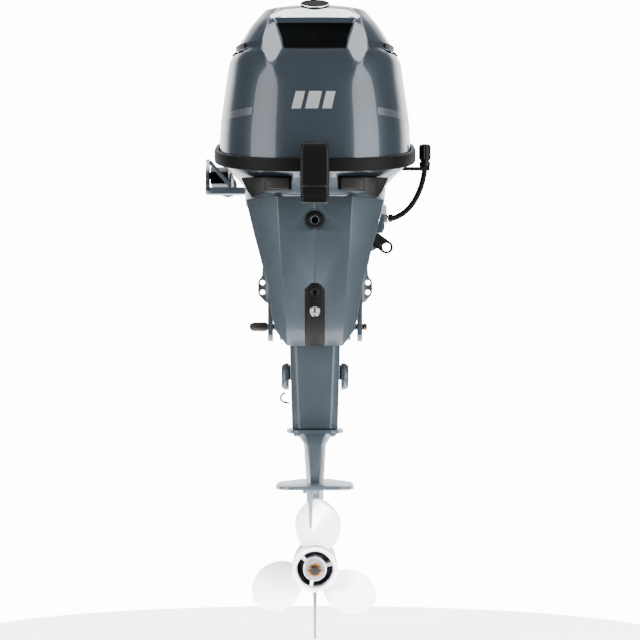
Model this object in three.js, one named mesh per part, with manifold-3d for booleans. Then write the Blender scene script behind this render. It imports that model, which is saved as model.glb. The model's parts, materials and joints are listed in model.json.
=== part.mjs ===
// A 15-horsepower class four-stroke outboard motor with a short shaft and a tiller handle.
// Millimetres. +X is starboard, +Y is forward, towards the boat, and +Z is up.
// The origin is on the top edge of the boat's transom, at its outer face, on the centre line.
import * as THREE from "three";
import { mergeVertices } from "three/addons/utils/BufferGeometryUtils.js";
import Module from "manifold-3d";

const wasm = await Module();
wasm.setup();

// ---------------------------------------------------------------- driving dimensions

const PLATE_Z = -438; // anti-ventilation plate: the short-shaft transom height below the seat
const STEER_Y = -78; // steering axis, behind the transom
const DRIVE_Y = -165; // crankshaft and drive shaft axis
const TILT_Y = 18; // tilt tube axis
const TILT_Z = 34;
const TRANSOM_GAP = 58; // thickest transom that the brackets take

const PROP_Z = -576; // propeller shaft axis
const PROP_RADIUS = 116.5;
const PROP_PITCH = 248;
const PROP_HUB_RADIUS = 38.5;
const TORPEDO_RADIUS = 37;
const SKEG_Z = -702;

const HANDLE_Y = 616; // tip of the tiller handle

const GAP = 0.3; // clearance between pieces that touch or slide
const TOP_OF_CASING = 46;
const CASING_BOTTOM = -345; // joint between the drive shaft housing and the gearcase

// ---------------------------------------------------------------- materials

const finish = (color, roughness, metalness) =>
  new THREE.MeshStandardMaterial({ color, roughness, metalness });
const paint = finish(0x4a5761, 0.3, 0.5);
const blackPlastic = finish(0x242423, 0.45, 0);
const rubber = finish(0x1b1b1b, 0.75, 0);
const whitePaint = finish(0xefeff0, 0.35, 0);
const steel = finish(0xb9bcbf, 0.3, 1);
const darkSteel = finish(0x2b2c2d, 0.5, 0.6);
const castAlloy = finish(0x9a9da0, 0.5, 0.8);
const bronze = finish(0xb07a45, 0.4, 1);
const anode = finish(0x8d9296, 0.7, 0.7);
const red = finish(0xb01f1c, 0.4, 0);

// ---------------------------------------------------------------- solid helpers

// Turns closed geometry into a manifold-3d solid with its faces pointing out.
function solid(geometry) {
  const bare = new THREE.BufferGeometry();
  const loose = geometry.index ? geometry.toNonIndexed() : geometry;
  bare.setAttribute("position", loose.getAttribute("position"));
  const merged = mergeVertices(bare, 1e-3);
  const triVerts = new Uint32Array(merged.index.array);
  const vertProperties = new Float32Array(merged.attributes.position.array);
  const made = new wasm.Manifold(new wasm.Mesh({ numProp: 3, vertProperties, triVerts }));
  if (made.volume() > 0) return made;
  const turned = triVerts.slice();
  for (let i = 0; i < turned.length; i += 3) {
    turned[i + 1] = triVerts[i + 2];
    turned[i + 2] = triVerts[i + 1];
  }
  return new wasm.Manifold(new wasm.Mesh({ numProp: 3, vertProperties, triVerts: turned }));
}

function geometryOf(made) {
  const mesh = made.getMesh();
  const geometry = new THREE.BufferGeometry();
  geometry.setAttribute("position", new THREE.BufferAttribute(mesh.vertProperties, 3));
  geometry.setIndex(new THREE.BufferAttribute(mesh.triVerts, 1));
  return geometry;
}

const union = (first, ...others) => others.reduce((whole, next) => whole.add(next), first);
const cut = (first, ...others) => others.reduce((whole, next) => whole.subtract(next), first);

// Local axes (u, v, w) of an outline that is extruded along X, Y or Z.
const BASES = {
  x: new THREE.Matrix4().set(0, 0, 1, 0, 1, 0, 0, 0, 0, 1, 0, 0, 0, 0, 0, 1),
  y: new THREE.Matrix4().set(1, 0, 0, 0, 0, 0, 1, 0, 0, 1, 0, 0, 0, 0, 0, 1),
  z: new THREE.Matrix4(),
};

// An outline in the two axes across `axis`, in X, Y, Z order, extruded between two stations.
function prism(axis, outline, start, end) {
  const shape = outline instanceof THREE.Shape ? outline : rounded(outline, 0);
  const low = Math.min(start, end);
  const geometry = new THREE.ExtrudeGeometry(shape, {
    depth: Math.abs(end - start),
    bevelEnabled: false,
    curveSegments: 1,
  });
  geometry.translate(0, 0, low);
  return solid(geometry.applyMatrix4(BASES[axis]));
}

// A closed outline whose corners are rounded by `radius`, or by each point's own third value.
function rounded(points, radius) {
  const shape = new THREE.Shape();
  const corner = (i) => new THREE.Vector2(...points[(i + points.length) % points.length]);
  points.forEach((point, i) => {
    const here = corner(i);
    const size = point[2] ?? radius;
    const before = corner(i - 1).sub(here);
    const after = corner(i + 1).sub(here);
    const from = here.clone().add(before.clone().setLength(Math.min(size, before.length() / 2)));
    const to = here.clone().add(after.clone().setLength(Math.min(size, after.length() / 2)));
    if (i === 0) shape.moveTo(from.x, from.y);
    else shape.lineTo(from.x, from.y);
    if (size > 0) shape.quadraticCurveTo(here.x, here.y, to.x, to.y);
  });
  return shape;
}

function block(x, y, z) {
  const size = [x, y, z].map(([low, high]) => Math.abs(high - low));
  const middle = [x, y, z].map(([low, high]) => (low + high) / 2);
  return solid(new THREE.BoxGeometry(...size).translate(...middle));
}

// Stands a geometry that is made along Y along another axis, then moves it into place.
function stand(geometry, axis, centre) {
  if (axis === "x") geometry.rotateZ(-Math.PI / 2);
  if (axis === "z") geometry.rotateX(Math.PI / 2);
  return solid(geometry.translate(...centre));
}

// A centre given as the two coordinates across the axis, placed in space.
function onAxis(axis, [a, b], along) {
  if (axis === "x") return [along, a, b];
  if (axis === "y") return [a, along, b];
  return [a, b, along];
}

function rod(axis, radius, [start, end], centre, sides = 16) {
  const length = Math.abs(end - start);
  const geometry = new THREE.CylinderGeometry(radius, radius, length, sides);
  return stand(geometry, axis, onAxis(axis, centre, (start + end) / 2));
}

// A closed profile of [radius, station] turned about an axis.
function turned(axis, profile, centre, sides = 20) {
  const points = profile.map(([radius, along]) => new THREE.Vector2(radius, along));
  const closed = points[0].x === 0 && points.at(-1).x === 0;
  if (!closed) points.push(points[0].clone());
  return stand(new THREE.LatheGeometry(points, sides), axis, onAxis(axis, centre, 0));
}

// A solid through rings of the same number of points, closed by a fan at each end.
function loft(rings) {
  const count = rings[0].length;
  const points = rings.flat();
  const faces = [];
  for (let r = 0; r + 1 < rings.length; r++)
    for (let i = 0; i < count; i++) {
      const a = r * count + i;
      const b = r * count + ((i + 1) % count);
      faces.push(a, b, b + count, a, b + count, a + count);
    }
  const fan = (ring, first, flip) => {
    const middle = ring.reduce((sum, p) => sum.add(p), new THREE.Vector3()).divideScalar(count);
    points.push(middle);
    const hub = points.length - 1;
    for (let i = 0; i < count; i++) {
      const a = first + i;
      const b = first + ((i + 1) % count);
      faces.push(...(flip ? [hub, b, a] : [hub, a, b]));
    }
  };
  fan(rings[0], 0, true);
  fan(rings.at(-1), (rings.length - 1) * count, false);
  const geometry = new THREE.BufferGeometry().setFromPoints(points);
  return solid(geometry.setIndex(faces));
}

function tube(points, radius, sides, steps) {
  const section = new THREE.Shape();
  section.absarc(0, 0, radius, 0, 2 * Math.PI);
  const path = new THREE.CatmullRomCurve3(points.map((p) => new THREE.Vector3(...p)));
  return solid(
    new THREE.ExtrudeGeometry(section, { extrudePath: path, steps, curveSegments: sides / 2 }),
  );
}

// ---------------------------------------------------------------- scene graph

const motor = new THREE.Group();

function piece(name, made, material) {
  const mesh = new THREE.Mesh(geometryOf(made), material);
  mesh.name = name;
  motor.add(mesh);
}

const SIDES = [
  ["port", -1],
  ["starboard", 1],
];

// ---------------------------------------------------------------- transom brackets

const PIN = { y: -30, z: -170, radius: 5.5 }; // trim pin
const CLAMP = { x: 78, z: -50, radius: 8 }; // clamp screws
const TUBE_RADIUS = 13;

function clampBracket(side) {
  const across = (low, high) => [side * low, side * high];
  const plate = rounded(
    [
      [-52, -192], [-4, -197], [-0.01, -180, 0], [-0.01, 0, 0], [TRANSOM_GAP, 0, 0],
      [TRANSOM_GAP, -72], [84, -72], [88, -20], [80, 22], [50, 34], [34, 58],
      [4, 60], [-10, 46], [-20, 8], [-38, -60], [-56, -150],
    ],
    8,
  );
  const ears = rounded(
    [
      [74, 6], [96, 6], [92, -50], [94, -82], [101, -88], [101, -112], [87, -128], [74, -128],
    ].map(([x, z]) => [side * x, z]),
    3,
  );
  const body = union(
    prism("x", plate, side * 74, side * 83),
    prism("y", ears, -8, 0),
    block(across(66, 96), [0, TRANSOM_GAP + 6], [0, 8]),
    block(across(66, 92), [TRANSOM_GAP, TRANSOM_GAP + 8], [-70, 8]),
    rod("y", 17, [TRANSOM_GAP, 86], [side * CLAMP.x, CLAMP.z]),
    rod("x", 24, across(71, 90), [TILT_Y, TILT_Z], 18),
  );
  const holes = [
    rod("x", TUBE_RADIUS + GAP, across(60, 100), [TILT_Y, TILT_Z], 18),
    rod("y", CLAMP.radius + GAP, [40, 100], [side * CLAMP.x, CLAMP.z]),
    ...[-92, -109].map((z) => rod("y", 4.5, [-20, 20], [side * 93, z], 12)),
    ...[-1, 0, 1].map((step) => {
      const swing = step * 0.067;
      const arm = new THREE.Vector2(PIN.y - TILT_Y, PIN.z - TILT_Z);
      arm.rotateAround(new THREE.Vector2(), swing);
      const centre = [TILT_Y + arm.x, TILT_Z + arm.y];
      return rod("x", PIN.radius + GAP, across(60, 100), centre, 12);
    }),
  ];
  const lug = rounded([[90, 4], [112, 4], [112, -30], [94, -40], [90, -40]], 3);
  const whole = side > 0 ? union(body, prism("y", lug, -8, 0)) : body;
  return cut(whole, ...holes);
}

function tiltTube() {
  const outer = rod("x", TUBE_RADIUS, [-104, 127], [TILT_Y, TILT_Z], 18);
  return cut(outer, rod("x", 9, [-120, 140], [TILT_Y, TILT_Z], 16));
}

function tiltNut(from, to) {
  const hexagon = rod("x", 21, [from, to], [TILT_Y, TILT_Z], 6);
  return cut(hexagon, rod("x", TUBE_RADIUS + GAP, [from - 5, to + 5], [TILT_Y, TILT_Z], 18));
}

// The safety rope's eye: a flat link held to the starboard bracket by a bolt.
const EYE = { x: 126, z: -29.5, bolt: [99, -9] };

function ropeEye() {
  const [boltX, boltZ] = EYE.bolt;
  const along = Math.atan2(EYE.z - boltZ, EYE.x - boltX);
  const link = new THREE.Shape();
  link.absarc(boltX, boltZ, 11.5, along + Math.PI / 2, along + 1.5 * Math.PI);
  link.absarc(EYE.x, EYE.z, 11.5, along - Math.PI / 2, along + Math.PI / 2);
  const eye = new THREE.Path();
  eye.absarc(EYE.x, EYE.z, 7.2, 0, 2 * Math.PI, true);
  link.holes.push(eye);
  const geometry = new THREE.ExtrudeGeometry(link, {
    depth: 4,
    bevelEnabled: false,
    curveSegments: 12,
  });
  const plate = solid(geometry.translate(0, 0, -12.3).applyMatrix4(BASES.y));
  return union(plate, rod("y", 7, [-17.5, -12.2], EYE.bolt, 6));
}

// The trim pin's head is a flat grip on the port side.
function trimPin() {
  const grip = rounded([[-40, -178], [-20, -178], [-20, -162], [-40, -162]], 5);
  return union(
    rod("x", PIN.radius, [-100, 92], [PIN.y, PIN.z], 12),
    prism("x", grip, -116, -88),
  );
}

// Clamp screws, drawn back: a swivelling pad, a threaded bar and its T-handle.
const PAD_Y = 46; // front of the pad's face is towards the transom

function clampPad(side) {
  const profile = [[0, PAD_Y], [19, PAD_Y], [19, PAD_Y + 4], [12, PAD_Y + 9], [0, PAD_Y + 9]];
  return turned("y", profile, [side * CLAMP.x, CLAMP.z], 18);
}

function clampScrew(side) {
  const centre = [side * CLAMP.x, CLAMP.z];
  const handle = rounded([[-9, -44], [9, -44], [9, 44], [-9, 44]], 9);
  const bar = prism("y", handle, 128, 133).translate([centre[0], 0, centre[1]]);
  const eyes = [-34, 34].map((z) => rod("y", 5, [120, 140], [centre[0], centre[1] + z], 10));
  const shank = rod("y", CLAMP.radius, [PAD_Y + 9 + GAP, 124], centre);
  return cut(union(shank, rod("y", 13, [122, 136], centre, 16), bar), ...eyes);
}

for (const [name, side] of SIDES) {
  piece(`clamp_bracket_${name}`, clampBracket(side), paint);
  piece(`clamp_pad_${name}`, clampPad(side), steel);
  piece(`clamp_screw_${name}`, clampScrew(side), darkSteel);
}
piece("tilt_tube", tiltTube(), steel);
piece("tilt_nut_port", tiltNut(-101, -91), darkSteel);
piece("tilt_nut_starboard", tiltNut(91, 104), paint);
piece("rope_eye", ropeEye(), darkSteel);
piece("trim_pin", trimPin(), darkSteel);

// ---------------------------------------------------------------- swivel bracket

const SWIVEL = { outer: 28.5, bore: 21, top: 22, bottom: -216 };
const PIVOT_RADIUS = 17;

function swivelBracket() {
  const web = rounded(
    [
      [-78, 8], [-78, -70], [-62, -80], [-40, -66], [6, 16], [34, 18], [40, 34], [30, 52],
      [8, 52], [-30, 20],
    ],
    4,
  );
  const ear = rounded(
    [
      [STEER_Y, -190], [STEER_Y, -150], [PIN.y - PIN.radius - GAP, -160],
      [PIN.y - PIN.radius - GAP, -182], [-52, -194],
    ],
    2,
  );
  const body = union(
    rod("z", SWIVEL.outer, [SWIVEL.bottom, SWIVEL.top], [0, STEER_Y], 24),
    rod("x", 21, [-70, 70], [TILT_Y, TILT_Z], 18),
    prism("x", web, -34, -22),
    prism("x", web, 22, 34),
    prism("x", rounded([[-78, 2], [-78, -20], [-40, -20], [10, 16], [10, 26], [-30, 14]], 3), -34, 34),
    prism("x", ear, -62, -50),
    prism("x", ear, 50, 62),
    block([-62, 62], [STEER_Y, -62], [-190, -150]),
  );
  return cut(
    body,
    rod("z", SWIVEL.bore, [SWIVEL.bottom - 5, SWIVEL.top + 5], [0, STEER_Y], 24),
    rod("x", TUBE_RADIUS + GAP, [-80, 80], [TILT_Y, TILT_Z], 18),
    rod("x", SUPPORT.radius + GAP, [-50, 50], [SUPPORT.y, SUPPORT.z], 12),
  );
}

// Flanged plastic bush between the swivel bracket's bore and the steering shaft.
function steeringBush(mouth, inwards) {
  const bore = PIVOT_RADIUS + GAP;
  const sleeve = SWIVEL.bore - GAP;
  const profile = [
    [bore, mouth + inwards * 34], [sleeve, mouth + inwards * 34], [sleeve, mouth - inwards * GAP],
    [27, mouth - inwards * GAP], [27, mouth - inwards * 3], [bore, mouth - inwards * 3],
  ];
  return turned("z", profile, [0, STEER_Y], 18);
}

// A bar on a cross shaft that holds the motor tilted up when it is swung forward.
const SUPPORT = { y: -46, z: -10, radius: 5 };

function tiltSupportLever() {
  const arm = rounded([[-54, -2], [-38, -2], [-26, -70], [-30, -80], [-40, -76]], 4);
  return union(
    rod("x", SUPPORT.radius, [-40, 40], [SUPPORT.y, SUPPORT.z], 12),
    prism("x", arm, 36, 42),
    rod("x", 5, [38, 68], [-34, -71], 12),
  );
}

piece("swivel_bracket", swivelBracket(), paint);
piece("steering_bush_upper", steeringBush(SWIVEL.top, -1), blackPlastic);
piece("steering_bush_lower", steeringBush(SWIVEL.bottom, 1), blackPlastic);
piece("tilt_support_lever", tiltSupportLever(), darkSteel);

// ---------------------------------------------------------------- steering bracket and mounts

const TILLER = { x: -170, y: 20, z: 98 };
const YOKE_Z = [-262, -236];
const MOUNT = { x: 48, y: -125 }; // upper rubber mounts
const PLATE_HEIGHT = [64, 76];

// The steering shaft, the plate on top of it and the tiller's open cast box, in one casting.
function steeringBracket() {
  const plate = rounded(
    [
      [-66, -142], [66, -142], [66, -100], [34, -40], [26, 34], [-34, 34], [-58, 6],
      [-112, 6], [-126, 40], [-192, 40], [-192, -30], [-120, -30], [-40, -50], [-66, -100],
    ],
    8,
  );
  const outerCheek = rounded([[-30, 64], [40, 64], [40, 96], [34, 114], [4, 129], [-30, 100]], 5);
  const innerCheek = rounded([[-30, 64], [40, 64], [40, 96], [34, 114], [6, 114], [-30, 88]], 5);
  const web = [[-188, 118], [-184, 124], [-146, 80], [-150, 74]];
  const body = union(
    rod("z", PIVOT_RADIUS, [YOKE_Z[0] - 2, 66], [0, STEER_Y], 18),
    prism("z", plate, ...PLATE_HEIGHT),
    prism("x", outerCheek, -193, -187),
    prism("x", innerCheek, -153, -147),
    prism("y", web, -30, -24),
  );
  const pinHole = rod("x", 6 + GAP, [-200, -140], [TILLER.y, TILLER.z], 12);
  return cut(body, pinHole);
}

function upperMount(side) {
  const profile = [[5, 46.3], [15, 46.3], [15, 52], [12.5, 55], [15, 58], [15, 63.7], [5, 63.7]];
  return turned("z", profile, [side * MOUNT.x, MOUNT.y], 16);
}

function lowerMountYoke() {
  const cups = SIDES.map(([, side]) =>
    turned(
      "x",
      [[0, 45], [23.5, 45], [23.5, 52], [19, 58], [0, 58]].map(([r, x]) => [r, side * x]),
      [-117, YOKE_Z[0] + 6],
      28,
    ),
  );
  const ring = rod("z", 27, YOKE_Z, [0, STEER_Y], 18);
  const bore = rod("z", PIVOT_RADIUS + GAP, [-300, -200], [0, STEER_Y], 18);
  return cut(union(ring, block([-58, 58], [-103, -88], YOKE_Z), ...cups), bore);
}

piece("steering_bracket", steeringBracket(), paint);
for (const [name, side] of SIDES) piece(`upper_mount_${name}`, upperMount(side), rubber);
piece("lower_mount_yoke", lowerMountYoke(), paint);

// ---------------------------------------------------------------- drive shaft housing

// A plan outline given for the starboard side, from the rear to the front, and mirrored.
const bothSides = (half) => [...half, ...half.toReversed().map(([x, y]) => [-x, y])];
const ringAt = (half, height) => bothSides(half).map(([x, y]) => new THREE.Vector3(x, y, height(y)));

// [height, half width, rear, front]
const HOUSING = [
  [TOP_OF_CASING, 60, -258, -108],
  [-60, 50, -246, -108],
  [-200, 43, -240, -108],
  [-262, 41, -236, -106],
  [CASING_BOTTOM, 39, -232, -104],
];

function housingRing([z, half, rear, front], inset) {
  const side = [
    [half - 12 - inset / 2, rear + inset],
    [half - inset, rear + 14 + inset],
    [half - inset, -168],
    [23 - inset / 2, front - inset],
  ];
  return ringAt(side, () => z);
}

function driveShaftHousing() {
  const inner = HOUSING.map((ring) => housingRing(ring, 6));
  const ends = [0, inner.length - 1].map((i) => inner[i].map((p) => p.clone()));
  ends[0].forEach((p) => (p.z += 10));
  ends[1].forEach((p) => (p.z -= 10));
  const flange = rounded([[-62, -262], [62, -262], [66, -150], [62, -97], [-62, -97], [-66, -150]], 12);
  return cut(
    union(
      loft(HOUSING.map((ring) => housingRing(ring, 0))),
      prism("z", flange, TOP_OF_CASING - 12, TOP_OF_CASING),
    ),
    loft([ends[0], ...inner, ends[1]]),
  );
}

piece("drive_shaft_housing", driveShaftHousing(), paint);

// ---------------------------------------------------------------- apron

const APRON_FRONT = -132;
const APRON_WALL = 3;

// [height, half width, half width of the flat rear panel, rear, rise towards the boat]
const APRON = [
  [50, 117, 63, -330, -0.065],
  [-9, 104, 60, -318, 0],
  [-47, 94, 58, -306, 0],
  [-98, 80, 54, -290, 0],
  [-151, 73, 50, -273, 0],
  [-175, 67.5, 48.5, -264, 0],
  [-202, 47.5, 46, -250, 0],
];
const PLATE_ARCH = { half: 16, top: -96 };
const GROMMET = { z: 9.5, radius: 15, hole: 6.7 };

function apronRing([z, half, flat, rear, rise], inset, front) {
  const side = [
    [flat - inset / 2, rear + inset],
    [half - inset, rear + (half - flat) * 1.1 + inset],
    [half - inset, front],
  ];
  return ringAt(side, (y) => z + rise * (y - rear));
}

function apronHalf(side) {
  const outer = loft(APRON.map((ring) => apronRing(ring, 0, APRON_FRONT)));
  const inner = APRON.map((ring) => apronRing(ring, APRON_WALL, APRON_FRONT + 10));
  const above = inner[0].map((p) => p.clone().setZ(p.z + 10));
  const below = inner.at(-1).map((p) => p.clone().setZ(p.z - 10));
  const reach = PLATE_ARCH.half + GAP;
  const archTop = PLATE_ARCH.top + GAP;
  const arch = rounded([[-reach, -210], [reach, -210], [reach, archTop, 10], [-reach, archTop, 10]], 0);
  const shell = cut(
    outer,
    loft([above, ...inner, below]),
    prism("y", arch, -310, -236),
    rod("y", GROMMET.radius + GAP, [-340, -300], [0, GROMMET.z], 18),
  );
  return shell.intersect(block([side * GAP * 0.5, side * 200], [-400, -50], [-300, 100]));
}

// The black plate in the apron's rear seam, on the slope of the panel around it.
function apronRearPlate() {
  const slope = (z) => {
    const index = APRON.findIndex((ring) => ring[0] <= z);
    const [high, low] = [APRON[index - 1], APRON[index]];
    return low[3] + ((high[3] - low[3]) * (z - low[0])) / (high[0] - low[0]);
  };
  const stations = [[-96.2, 6], [-106, 15.7], [-151, 16], [-175, 16], [-201.5, 16]];
  return loft(
    stations.map(([z, half]) =>
      [[half, -1], [half, 5], [-half, 5], [-half, -1]].map(
        ([x, y]) => new THREE.Vector3(x, slope(z) + y, z),
      ),
    ),
  );
}

function exhaustGrommet() {
  const { radius, hole } = GROMMET;
  const profile = [[hole, -327], [radius, -327], [radius, -314], [hole, -314]];
  return turned("y", profile, [0, GROMMET.z], 18);
}

for (const [name, side] of SIDES) piece(`apron_${name}`, apronHalf(side), paint);
piece("apron_rear_plate", apronRearPlate(), blackPlastic);
piece("exhaust_grommet", exhaustGrommet(), rubber);

// ---------------------------------------------------------------- gearcase

const HUB_FRONT = -245; // joint between the gearcase and the propeller's hub
const SHIFT_ROD_Y = -128;
const GEAR = { teeth: 27, radius: 27, addendum: 1.2, dedendum: 1.9 };
const PINION = { teeth: 13, radius: 13, addendum: 1.2, dedendum: 1.9 };
const TOE = 0.62; // a bevel tooth's small end, as a share of its cone distance

// [height, half width, rear, front]
const STRUT = [
  [-350, 39, -236, -104],
  [-360, 26, -240, -98],
  [-371, 19, -243, -94],
  [-436, 15, -250, -84],
  [-545, 14, -242, -72],
  [PROP_Z, 14, -240, -64],
];

function strutRing([z, half, rear, front]) {
  const length = front - rear;
  const side = [
    [half * 0.5, rear],
    [half, rear + 0.35 * length],
    [half * 0.9, rear + 0.7 * length],
    [2.5, front],
  ];
  return ringAt(side, () => z);
}

function gearcase() {
  const splashHalf = [[38, -252], [49, -190], [46, -120], [16, -62]];
  const plateHalf = [[56, -374], [66, -320], [62, -190], [22, -72]];
  const mirrored = (half) => [...half, ...half.map(([x, y]) => [-x, y]).reverse()];
  const splash = rounded(mirrored(splashHalf), 10);
  const plate = rounded(mirrored(plateHalf), 12);
  const torpedo = [
    [0, -22], [12, -27], [24, -44], [32, -66], [TORPEDO_RADIUS, -100],
    [TORPEDO_RADIUS, -232], [34, HUB_FRONT + GAP], [0, HUB_FRONT + GAP],
  ];
  const skegRing = (z, half, rear, front) =>
    ringAt([[half * 0.5, rear], [half, rear + 20], [half, front - 20], [1, front]], () => z);
  const axis = [DRIVE_Y, PROP_Z];
  const along = ([start, end], radius) => rod("y", radius, [start, end], [0, PROP_Z], 20);
  return cut(
    union(
      loft(STRUT.map(strutRing)),
      prism("z", splash, CASING_BOTTOM - 6, CASING_BOTTOM - GAP),
      prism("z", plate, PLATE_Z - 3, PLATE_Z + 3),
      turned("y", torpedo, [0, PROP_Z], 24),
      loft([
        skegRing(PROP_Z - 20, 5, -238, -80),
        skegRing(-640, 3, -232, -120),
        skegRing(SKEG_Z, 2.4, -222, -156),
      ]),
    ),
    along([axis[0] + 17, axis[0] - 17], 30.5),
    along([axis[0] + 31, axis[0] - 31], 18.2),
    along([axis[0] + 50, axis[0]], 11),
    along([axis[0], HUB_FRONT - 5], 10 + GAP),
    rod("z", 15.5, [PROP_Z, PROP_Z + 36], [0, DRIVE_Y], 16),
    rod("z", 9, [PROP_Z, CASING_BOTTOM + 5], [0, DRIVE_Y]),
    rod("z", 4 + GAP, [PROP_Z, CASING_BOTTOM + 5], [0, SHIFT_ROD_Y], 12),
  );
}

function trimTab() {
  const section = (z, half, rear, front) =>
    ringAt([[half * 0.6, rear], [half, rear + 10], [half, front - 10], [1, front]], () => z);
  const fin = loft([
    section(-444, 4.4, -373, -333),
    section(-492, 2.4, -371, -344),
    section(-505, 1.5, -370, -348),
  ]);
  return union(
    fin.translate([-7, 0, 0]),
    rod("z", 13, [PLATE_Z - 9, PLATE_Z - 3 - GAP], [-7, -352], 16),
  );
}

piece("gearcase", gearcase(), paint);
piece("trim_tab", trimTab(), anode);

// ---------------------------------------------------------------- gears, shafts and pump

// A straight bevel gear whose cone apex is at the origin and whose back faces along +Z.
// `phase` turns the teeth, in tooth pitches, from a tooth centred on +X.
function bevelTeeth({ teeth, radius, addendum, dedendum }, mate, phase, backLength) {
  const cone = Math.atan2(radius, mate.radius);
  const height = radius / Math.tan(cone);
  const tooth = [[-0.25, -1], [-0.08, 1], [0.08, 1], [0.25, -1]];
  const ring = (scale) =>
    Array.from({ length: teeth }, (_, i) =>
      tooth.map(([offset, level]) => {
        const angle = ((i + phase + offset) * 2 * Math.PI) / teeth;
        const rise = level > 0 ? addendum : -dedendum;
        const reach = (radius + rise * Math.cos(cone)) * scale;
        const depth = (height - rise * Math.sin(cone)) * scale;
        return new THREE.Vector3(reach * Math.cos(angle), reach * Math.sin(angle), depth);
      }),
    ).flat();
  const heel = ring(1);
  const rim = radius - dedendum * Math.cos(cone);
  const back = (along) => heel.map((p) => p.clone().setZ(0).setLength(rim).setZ(along));
  const start = height + dedendum * Math.sin(cone) + 0.8;
  return loft([ring(TOE), heel, back(start + backLength)]);
}

// The two large gears face each other across the pinion: `way` is +1 for the forward one.
function driveGear(way) {
  const teeth = bevelTeeth(GEAR, PINION, way > 0 ? 0.5 : 0, 1);
  const hub = turned("z", [[0, 10], [17.9, 10], [17.9, 30], [0, 30]], [0, 0], 18);
  const inside = union(
    rod("z", 15.5, [0, 19], [0, 0], 18),
    rod("z", 10 + GAP, [0, 40], [0, 0], 18),
  );
  // The gear's +X goes to +Z, and its back to forward or aft.
  const turn = way > 0 ? [0, 1, 0] : [0, -1, 0];
  const matrix = new THREE.Matrix4().makeBasis(
    new THREE.Vector3(0, 0, 1),
    new THREE.Vector3(way, 0, 0),
    new THREE.Vector3(...turn),
  );
  return cut(union(teeth, hub), inside)
    .transform(matrix.elements)
    .translate([0, DRIVE_Y, PROP_Z]);
}

function pinionGear() {
  const matrix = new THREE.Matrix4().makeRotationZ(Math.PI / 2);
  const made = bevelTeeth(PINION, GEAR, 0, 4).transform(matrix.elements);
  return cut(made, rod("z", 8 + GAP, [0, 50], [0, 0], 16)).translate([0, DRIVE_Y, PROP_Z]);
}

function driveShaft() {
  const profile = [
    [0, PROP_Z + 20], [8, PROP_Z + 20], [8, -345], [8, 40], [11, 60], [11, 235],
    [8, 238], [8, 284], [0, 284],
  ];
  return turned("z", profile, [0, DRIVE_Y], 16);
}

function flywheel() {
  const profile = [
    [8.3, 246], [30, 246], [34, 252], [78, 252], [88, 244], [90, 246], [90, 274], [84, 277],
    [40, 272], [20, 277], [8.3, 277],
  ];
  return turned("z", profile, [0, DRIVE_Y], 24);
}

function waterPumpHousing() {
  const outer = union(
    rod("z", 29, [CASING_BOTTOM, -318], [0, DRIVE_Y], 20),
    rod("z", 14, [-320, -306], [0, DRIVE_Y], 16),
  );
  return cut(
    outer,
    rod("z", 23, [CASING_BOTTOM - 5, -326], [0, DRIVE_Y], 20),
    rod("z", 8 + GAP, [-350, -300], [0, DRIVE_Y]),
  );
}

function pumpImpeller() {
  const vanes = 6;
  const vane = [[-0.4, 12], [-0.14, 12.5], [-0.08, 21], [0.08, 21], [0.14, 12.5], [0.4, 12]];
  const outline = Array.from({ length: vanes }, (_, i) =>
    vane.map(([offset, radius]) => {
      const angle = ((i + offset) * 2 * Math.PI) / vanes;
      return [radius * Math.cos(angle), DRIVE_Y + radius * Math.sin(angle)];
    }),
  ).flat();
  const made = prism("z", outline, -342, -329);
  return cut(made, rod("z", 8 + GAP, [-350, -320], [0, DRIVE_Y]));
}

function propellerShaft() {
  const profile = [[0, -136], [9, -136], [10, -139], [10, -331], [7, -333], [7, -352], [0, -352]];
  return turned("y", profile, [0, PROP_Z], 16);
}

function clutchDog() {
  const ring = turned("y", [[10.3, -171], [14, -171], [14, -159], [10.3, -159]], [0, PROP_Z], 18);
  const slots = [0, 1, 2].map((i) => {
    const angle = (i * 2 * Math.PI) / 3;
    const centre = [12.5 * Math.cos(angle), PROP_Z + 12.5 * Math.sin(angle)];
    return rod("y", 2.5, [-180, -168.5], centre, 8).add(rod("y", 2.5, [-161.5, -150], centre, 8));
  });
  return cut(ring, ...slots);
}

function shiftRod() {
  return union(
    rod("z", 4, [PROP_Z, 30], [0, SHIFT_ROD_Y], 12),
    rod("z", 7, [-60, -48], [0, SHIFT_ROD_Y], 12),
  );
}

piece("forward_gear", driveGear(1), steel);
piece("reverse_gear", driveGear(-1), steel);
piece("pinion_gear", pinionGear(), steel);
piece("drive_shaft", driveShaft(), steel);
piece("flywheel", flywheel(), castAlloy);
piece("water_pump_housing", waterPumpHousing(), blackPlastic);
piece("pump_impeller", pumpImpeller(), rubber);
piece("propeller_shaft", propellerShaft(), steel);
piece("clutch_dog", clutchDog(), steel);
piece("shift_rod", shiftRod(), steel);

// ---------------------------------------------------------------- propeller

const BLADE_ANGLES = [88, 208, 328];
const BLADE_Y = -287;

// [share of the tip radius, half angle of the blade, thickness]
const BLADE = [
  [0.31, 33, 7], [0.42, 35.5, 6], [0.54, 34, 4.8], [0.66, 30, 3.8], [0.79, 24.5, 3],
  [0.885, 17, 2.4], [0.957, 10, 2], [1, 2.5, 1.6],
];

// A right-hand blade: sections of one helicoid, whose leading edge is clockwise from behind.
function propellerBlade(angle) {
  const rings = BLADE.map(([share, half, thickness]) => {
    const radius = share * PROP_RADIUS;
    const skew = -7 * (share - 0.31);
    const section = [
      [-1, 0], [-0.4, 0.5], [0.5, 0.42], [1, 0], [0.5, -0.42], [-0.4, -0.5],
    ];
    return section.map(([chord, level]) => {
      const clockwise = skew + half * chord;
      const turn = THREE.MathUtils.degToRad(angle - clockwise);
      const along = BLADE_Y + (PROP_PITCH * clockwise) / 360 + thickness * level;
      return new THREE.Vector3(radius * Math.cos(turn), along, PROP_Z + radius * Math.sin(turn));
    });
  });
  return loft(rings);
}

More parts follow.
